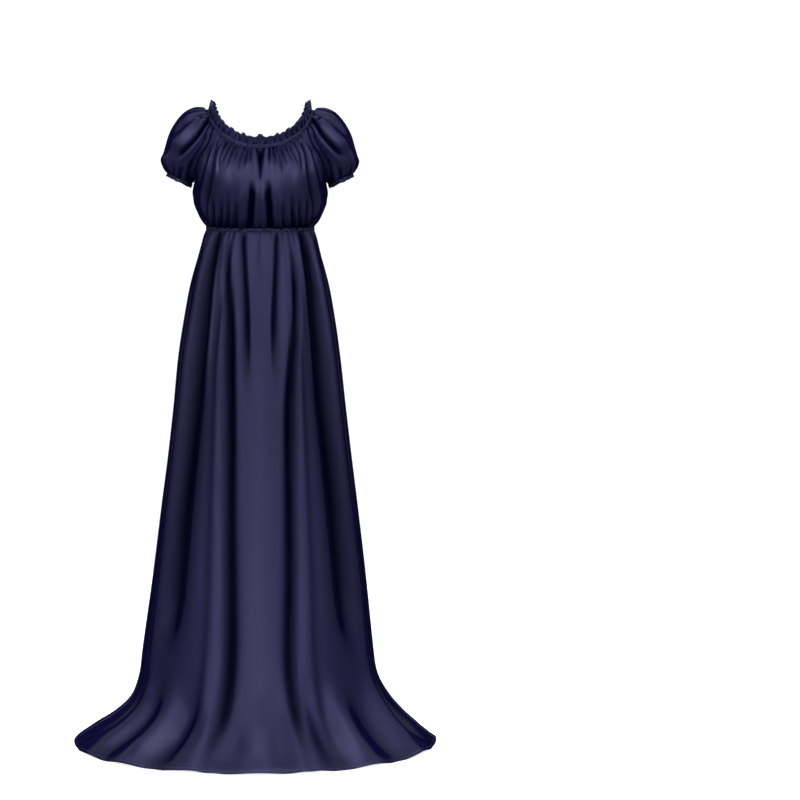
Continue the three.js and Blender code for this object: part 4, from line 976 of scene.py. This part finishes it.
def ruffle_piece():
    cols, rows = 1400, 14
    t = np.arange(cols) / cols
    q = t * 2 - 1
    p0, way, n, a = neck_frame(q)
    loop = np.concatenate([p0, p0[:1]])
    run = np.concatenate([[0], np.cumsum(np.linalg.norm(np.diff(loop, axis=0), axis=1))])[:-1]
    length = run[-1] + np.linalg.norm(p0[0] - p0[-1])
    mid = length / 2
    x = run - mid  # from front centre, towards the wearer's left
    up = unit(-0.6 * a + np.array([0, 0, 0.8]))
    out = unit(np.cross(up, way))
    flip = dot(out, n) < 0
    out = np.where(flip, -out, out)
    rng = np.random.default_rng(15)
    # Places of the lobes all round.
    lobes = []
    for side in (-1, 1):
        for c, h, k in RUFFLE_LOBES:
            if c == 0 and side < 0:
                continue
            lobes.append((side * c + (rng.normal() * 0.8 if c else 0), h * rng.uniform(0.94, 1.06), k))
        c = 168.0
        while c < mid - 8:
            step = rng.uniform(14.5, 19.5)
            c += step
            lobes.append((side * c, step * 0.5, rng.uniform(0.86, 1.0)))
    lobes.sort()
    centre = np.array([l[0] for l in lobes])
    tall = np.array([l[2] for l in lobes])
    # Phase grows by one from one lobe to the next.
    ext_c = np.concatenate([[centre[-1] - length], centre, [centre[0] + length]])
    ext_k = np.concatenate([[tall[-1]], tall, [tall[0]]])
    phase = np.interp(x, ext_c, np.arange(len(ext_c)))
    swing = np.interp(x, ext_c, rng.uniform(0.7, 1.25, len(ext_c)))
    swing2 = np.interp(x, ext_c, rng.uniform(0.3, 1.1, len(ext_c)))
    part = np.abs(phase - np.round(phase)) * 2
    # Over the shoulders and behind, the edge is more even than in front.
    calm = np.clip((np.abs(q) - 0.34) / 0.14, 0, 1)
    calm = calm * calm * (3 - 2 * calm)
    low = 0.76 + 0.14 * calm
    strength = low + (np.maximum(ext_k[np.round(phase).astype(int)], low) - low) * (1 - part**3)
    wide = 1.15 - 0.15 * calm + 0.6 * np.exp(-(((np.abs(q) - 0.5) / 0.16) ** 2))
    c1, s1 = np.cos(TAU * phase), np.sin(TAU * phase)
    c2, s2 = np.cos(2 * TAU * phase + 0.9), np.sin(2 * TAU * phase)
    fine = np.sin(x / 1.35 + 2 * np.sin(x / 7.0))
    pts, st, uv, dark = [], [], [], []
    for i in range(rows + 1):
        k = i / rows
        rise = (RUFFLE + 1.2) * k * (1 - (1 - strength) * k)
        flare = k**1.15
        d = flare * wide * (4.3 * swing * c1 + 1.5 * swing2 * c2) + 0.55 * fine * (1 - k) ** 1.5
        slide = (2.7 * flare * s2 * swing2 - 1.2 * flare * s1) * (1 - 0.25 * calm)
        lean = 0.8 * math.sin(math.pi * k)
        pts.append(
            p0 + a * (-CASING / 2 + 0.6) + up * rise[:, None] + out * (d + lean)[:, None] + way * slide[:, None]
        )
        st.append(np.stack([np.full(cols, (1 - k) * RUFFLE - 2.2), run], -1))
        uv.append(np.stack([run, np.full(cols, k * RUFFLE)], -1))
        # Painted shade in the valleys between the lobes, in the fine ripples and near the casing.
        dark.append(np.clip((0.75 - 0.35 * k) * np.clip(-1.2 * c1 * swing, 0, 1) + 0.3 * (1 - k) ** 2 + 0.2 * (1 - k) * (fine < 0), 0, 1))
    p = np.array(pts)
    return build(
        "cloth_neck_ruffle", p, grid_quads(rows + 1, cols, True), np.array(uv), np.array(st), SATIN_RUFFLE, 0.8,
        np.broadcast_to(out, p.shape), np.array(dark),
    )


def skirt_heights():
    """Rows: close together at the gathers and at the hem."""
    top = 1 - np.linspace(0, 1, 46) ** 1.3 * 0.2
    middle = np.linspace(0.8, 0.12, 62)[1:]
    flare = np.linspace(0.12, 0.016, 34)[1:]
    hem = np.linspace(0.016, 0, 16)[1:]
    return np.concatenate([top, middle, flare, hem])


def skirt_field(angle, h, p):
    deg = np.degrees(angle)
    z = p[..., 2]
    radius = np.hypot(p[..., 0], p[..., 1])
    d = np.zeros_like(z)
    # Painted shade, gathered from the valleys of the folds and the hem waves.
    deep = np.zeros_like(z)
    foot = 0.3 + 0.7 * ease(0, 120, z)
    for line, depth, w0, w1, top, low in SKIRT_FOLDS:
        rows = sorted(line)
        at = table(rows, z)[..., 0] if len(rows) > 2 else np.interp(z, [r[0] for r in rows], [r[1] for r in rows])
        gap = deg - at
        gap = gap - 360 * np.round(gap / 360)
        gap = np.radians(gap) * radius
        share = np.clip((1170 - z) / 900, 0, 1)
        w = w0 + (w1 - w0) * share**0.6
        sway = 1 + 0.12 * np.sin(z / 97.0 + depth)
        shape = np.exp(-((gap / w) ** 2))
        valley_shade_mask = np.exp(-((gap / (1.1 * w)) ** 2))
        if depth < 0:
            shape = shape - 0.22 * np.exp(-((gap / (2.1 * w)) ** 2))
        grow = 0.5 + 0.5 * (1 - ease(920, 1165, z))
        fade = 1 - ease(top - 14 if top > 1160 else top - 90, top + (4 if top > 1160 else 40), z)
        fade = fade * (ease(low - 60, low + 130, z) if low > 200 else foot)
        d += depth * shape * sway * grow * fade
        # Painted shade in each valley.
        if depth < 0:
            deep += np.minimum(1, 1.15 * abs(depth) * grow / w) * valley_shade_mask * fade
    for at, depth, w, top in HEM_WAVES:
        gap = deg - at
        gap = gap - 360 * np.round(gap / 360)
        f = np.exp(-((gap / w) ** 2)) * (1 - ease(top * 0.35, top, z))
        d += depth * f * (0.45 + 0.55 * ease(0, 45, z))
        # Painted shade in the valleys of the hem waves.
        deep += (0.04 * max(0, -depth)) * f
    return d, np.clip(deep, 0, 1)


def skirt_piece(front):
    cols = 262
    a0 = -math.pi / 2 if front else math.pi / 2
    ang = a0 + np.linspace(0, math.pi, cols + 1)
    hs = skirt_heights()
    angle, h = np.meshgrid(ang, hs)
    p = skirt(angle, h)
    wide = a0 + np.linspace(-math.pi / cols, math.pi + math.pi / cols, cols + 3)
    aw, hw = np.meshgrid(wide, hs)
    pw = skirt(aw, hw)
    n = grid_normals(pw, hint=stack(np.sin(aw), -np.cos(aw), 0.05 + 0 * aw))[:, 1:-1]
    s_top = along(p, 0)
    s_low = s_top[-1][None, :] - s_top
    # One pattern all round, so that the two panels meet.
    ring = waist_point(np.linspace(0, TAU, 2001), 0)
    arc = along(ring[None], 1)[0]
    u = np.interp((angle % TAU), np.linspace(0, TAU, 2001), arc)
    total = arc[-1]
    d, deep = skirt_field(angle, h, p)
    before = d.copy()
    s_ref = (1 - h) * 1170.0
    d += gathers(u, s_ref, total, 6.6, 1.25, 101, 10, 60, 2.0, spread=0.02, drift=0.03, around=True)
    d += gathers(u, s_ref, total, 12.5, 1.7, 102, 25, 120, 3.2, spread=0.014, drift=0.03, around=True)
    d += gathers(u, s_ref, total, 30, 2.2, 103, 140, 480, 7.0, spread=0.008, drift=0.02, around=True)
    # More painted shade in the valleys of the gathers.
    deep = np.clip(deep + 0.55 * np.clip((before - d) / 3.2, 0, 1), 0, 1)
    # Long, faint waves that no gather makes.
    d += 0.8 * np.sin(3 * angle + s_ref / 210.0) * ease(60, 400, s_ref) * ease(0, 60, p[..., 2])
    # It goes under the casing.
    d -= 1.0 * np.exp(-s_ref / 2.5)
    # Side seams: a slight groove down both sides.
    side = np.abs(np.cos(angle)) * np.hypot(p[..., 0], p[..., 1])
    d -= 0.8 * np.exp(-((side / 2.5) ** 2)) * ease(6, 40, s_ref)
    # Narrow hem, turned twice: a little thicker, drawn in at its stitches.
    d += 0.6 * (1 - ease(6.5, 8.5, s_low))
    d -= 0.5 * np.exp(-(((s_low - 7.5) / 1.2) ** 2))
    pp = p + n * d[..., None]
    # The hem lies on the floor.
    rng_wave = 1.2 * np.sin(angle * 9 + 1.0) + 0.9 * np.sin(angle * 17)
    pp[..., 2] = np.maximum(pp[..., 2], 0.9 + 0.25 * np.clip(rng_wave, -1.4, 1.4) * ease(40, 0, p[..., 2]) + 0.35)
    pp[0] += np.array([0, 0, 3.5])
    stitch = np.stack([s_low - 7.0, along(pp, 1)], -1)
    uv = np.stack([along(p, 1), s_top], -1)
    name = "cloth_skirt_front" if front else "cloth_skirt_back"
    return build(name, pp, grid_quads(len(hs), cols + 1), uv, stitch, SATIN_SKIRT, 0.9, n, deep)


def tube(line, radius, around=18, wave=0.0, turns=6.0):
    line = np.asarray(line, float)
    way = unit(np.gradient(line, axis=0))
    ref = np.array([0, 1.0, 0.001])
    e1 = unit(np.cross(way, ref))
    e2 = unit(np.cross(way, e1))
    t = np.arange(around) / around * TAU
    k = np.linspace(0, 1, len(line))
    end = np.sqrt(np.clip(1 - (np.abs(k - 0.5) * 2) ** 10, 0.02, 1))
    # Two strands twisted together.
    r = radius * end[:, None] * (1 + wave * np.abs(np.cos(t[None, :] + turns * math.pi * k[:, None])))
    p = line[:, None] + e1[:, None] * (np.cos(t)[None, :, None] * r[..., None]) + e2[:, None] * (np.sin(t)[None, :, None] * r[..., None])
    return p


def knot_piece():
    base = neck_lower(0.0)
    c = np.array([0.0, base[1] - 3.2, base[2] - 3.0])
    parts, quads, count = [], [], 0
    s = np.linspace(-1, 1, 31)
    for sign in (1, -1):
        slant = math.radians(38) * sign
        line = c + np.stack(
            [6.2 * s * math.cos(slant), -0.7 * sign - 0.9 * (1 - s**2) * (sign > 0) + 0 * s, 6.2 * s * math.sin(slant) - 0.5 * s**2], -1
        )
        p = tube(line, 1.35, 18, 0.3, 7)
        parts.append(p.reshape(-1, 3))
        quads.append(grid_quads(31, 18, True) + count)
        count += p.shape[0] * 18
    # The bead where they cross.
    v = np.linspace(0.05, math.pi - 0.05, 17)
    t = np.arange(20) / 20 * TAU
    vv, tt = np.meshgrid(v, t, indexing="ij")
    r = 2.5 * (1 + 0.06 * np.cos(5 * tt))
    bead = c + np.stack([r * np.sin(vv) * np.cos(tt), -0.6 + 0.85 * r * np.cos(vv), r * np.sin(vv) * np.sin(tt)], -1)
    parts.append(bead.reshape(-1, 3))
    quads.append(grid_quads(17, 20, True) + count)
    verts = np.concatenate(parts)
    q = np.concatenate(quads)
    hint = verts - c
    ob = build("cord_neck_knot", verts, q, verts[:, [0, 2]], no_stitch(len(verts)), CORD, 0, None)
    return ob


bodice_front = bodice_piece(True)
bodice_back = bodice_piece(False)
sleeve_left = sleeve_piece(1)
sleeve_right = sleeve_piece(-1)
cuff_left = cuff_piece(1)
cuff_right = cuff_piece(-1)
neck_casing = neck_casing_piece()
neck_ruffle = ruffle_piece()
waist_casing = waist_casing_piece()
skirt_front = skirt_piece(True)
skirt_back = skirt_piece(False)
neck_knot = knot_piece()

PIECES = [
    (bodice_front, "bodice_front", "satin"),
    (bodice_back, "bodice_back", "satin"),
    (sleeve_left, "sleeve_left", "satin"),
    (sleeve_right, "sleeve_right", "satin"),
    (cuff_left, "cuff_left", "satin_casing"),
    (cuff_right, "cuff_right", "satin_casing"),
    (neck_casing, "neck_casing", "satin_casing"),
    (neck_ruffle, "neck_ruffle", "satin"),
    (neck_knot, "neck_knot", "cord"),
    (waist_casing, "waist_casing", "satin_casing"),
    (skirt_front, "skirt_front", "satin"),
    (skirt_back, "skirt_back", "satin"),
]
for ob, node, slot in PIECES:
    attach(ob, "root")
    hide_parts(node)

# ------------------------------------------------------------------------ stage
FLOOR = -HOLD * 1e-3 - 0.0002


def paper(name, verts, faces, glow, base):
    me = bpy.data.meshes.new(name)
    me.from_pydata(verts, [], faces)
    ob = bpy.data.objects.new(name, me)
    bpy.context.scene.collection.objects.link(ob)
    m = bpy.data.materials.new(name)
    m.use_nodes = True
    b = m.node_tree.nodes["Principled BSDF"]
    b.inputs["Base Color"].default_value = (base, base, base, 1)
    b.inputs["Roughness"].default_value = 0.9
    b.inputs["Specular IOR Level"].default_value = 0.1
    b.inputs["Emission Color"].default_value = (1, 1, 1, 1)
    b.inputs["Emission Strength"].default_value = glow
    me.materials.append(m)
    return ob


def stage():
    x, y0, y1 = 3.0, -3.0, 3.0
    floor = paper("floor", [(-x, y0, FLOOR), (x, y0, FLOOR), (x, y1, FLOOR), (-x, y1, FLOOR)], [(0, 1, 2, 3)], 0.82, 0.93)
    floor.visible_diffuse = False
    floor.visible_glossy = False
    # A round white studio far behind, which only closes the view on every side.
    n, r, top = 48, 15.0, 16.0
    ring = [(r * math.cos(2 * math.pi * i / n), r * math.sin(2 * math.pi * i / n)) for i in range(n)]
    verts = [(u, v, FLOOR - 0.002) for u, v in ring] + [(u, v, top) for u, v in ring]
    faces = [(i, (i + 1) % n, n + (i + 1) % n, n + i) for i in range(n)]
    faces.append(tuple(reversed(range(n))))
    wall = paper("studio_wall", verts, faces, 1.1, 0.0)
    wall.visible_diffuse = False
    wall.visible_glossy = False
    wall.visible_transmission = False
    wall.visible_shadow = False


stage()


def area(name, at, to, size, power, spread=180.0, color=(1, 1, 1)):
    li = bpy.data.lights.new(name, "AREA")
    li.shape = "RECTANGLE"
    li.size, li.size_y = size
    li.energy = power
    li.spread = math.radians(spread)
    li.color = color
    ob = bpy.data.objects.new(name, li)
    bpy.context.scene.collection.objects.link(ob)
    ob.location = at
    ob.rotation_mode = "QUATERNION"
    ob.rotation_quaternion = (Vector(to) - Vector(at)).to_track_quat("-Z", "Y")
    ob.visible_camera = False
    return ob


area("key", (-0.2, -7.4, 0.3), (0, 0, -1.2), (1.8, 0.5), 1.45, 18.0)
area("upper", (-0.3, -3.8, 2.7), (0, 0, 0.3), (2.0, 0.5), 1.6, 24.0)
area("left", (-3.6, -4.0, 1.5), (0, 0, -0.8), (1.3, 2.2), 50)
area("right", (3.6, -4.0, 1.5), (0, 0, -0.8), (1.3, 2.2), 50)
area("sleeve_right", (-2.2, -4.6, 1.6), (-0.22, -0.03, -0.1), (0.5, 0.5), 0.12, 8.0)
area("sleeve_left", (2.2, -4.6, 1.6), (0.22, -0.03, -0.1), (0.5, 0.5), 0.12, 8.0)
area("hem_right", (-1.3, -2.0, 3.0), (-0.40, -0.25, -1.42), (0.6, 0.4), 0.5, 14.0)
area("hem_left", (1.3, -2.0, 3.0), (0.40, -0.25, -1.42), (0.6, 0.4), 0.5, 14.0)
area("ground", (0.4, 1.0, 3.6), (0.4, 0.7, -1.4), (5.0, 1.6), 62)
area("back_low", (0.2, 7.4, 0.5), (0, 0, -1.0), (2.4, 1.2), 2.2, 24.0)
area("back_high", (0.3, 4.2, 2.6), (0, 0, -0.1), (2.2, 1.0), 5.0, 40.0)
area("back_left", (-3.6, 4.0, 1.5), (0, 0, -0.7), (1.3, 2.2), 26)
area("back_right", (3.6, 4.0, 1.5), (0, 0, -0.7), (1.3, 2.2), 26)

world = bpy.data.worlds.new("studio")
world.use_nodes = True
world.node_tree.nodes["Background"].inputs[0].default_value = (0.93, 0.95, 1.0, 1)
world.node_tree.nodes["Background"].inputs[1].default_value = 0.25
scene = bpy.context.scene
scene.world = world
scene.view_settings.view_transform = "Standard"
scene.view_settings.look = "None"
scene.view_settings.exposure = 0.0
scene.view_settings.gamma = 1.0

# ----------------------------------------------------------------------- camera
cam_data = bpy.data.cameras.new("camera")
cam_data.sensor_width = 36.0
cam_data.lens = 36.0 * 6500 / 1824 * 1.00472
cam_data.clip_start = 0.1
cam_data.clip_end = 60
cam = bpy.data.objects.new("camera", cam_data)
scene.collection.objects.link(cam)
cam.location = (0.0, -6.5, -0.190)
target = Vector((0.31786, 0.0, -0.65498))
quat = (target - cam.location).to_track_quat("-Z", "Y")
cam.rotation_mode = "QUATERNION"
cam.rotation_quaternion = quat @ Matrix.Rotation(0.0035, 4, "Z").to_quaternion()
scene.camera = cam
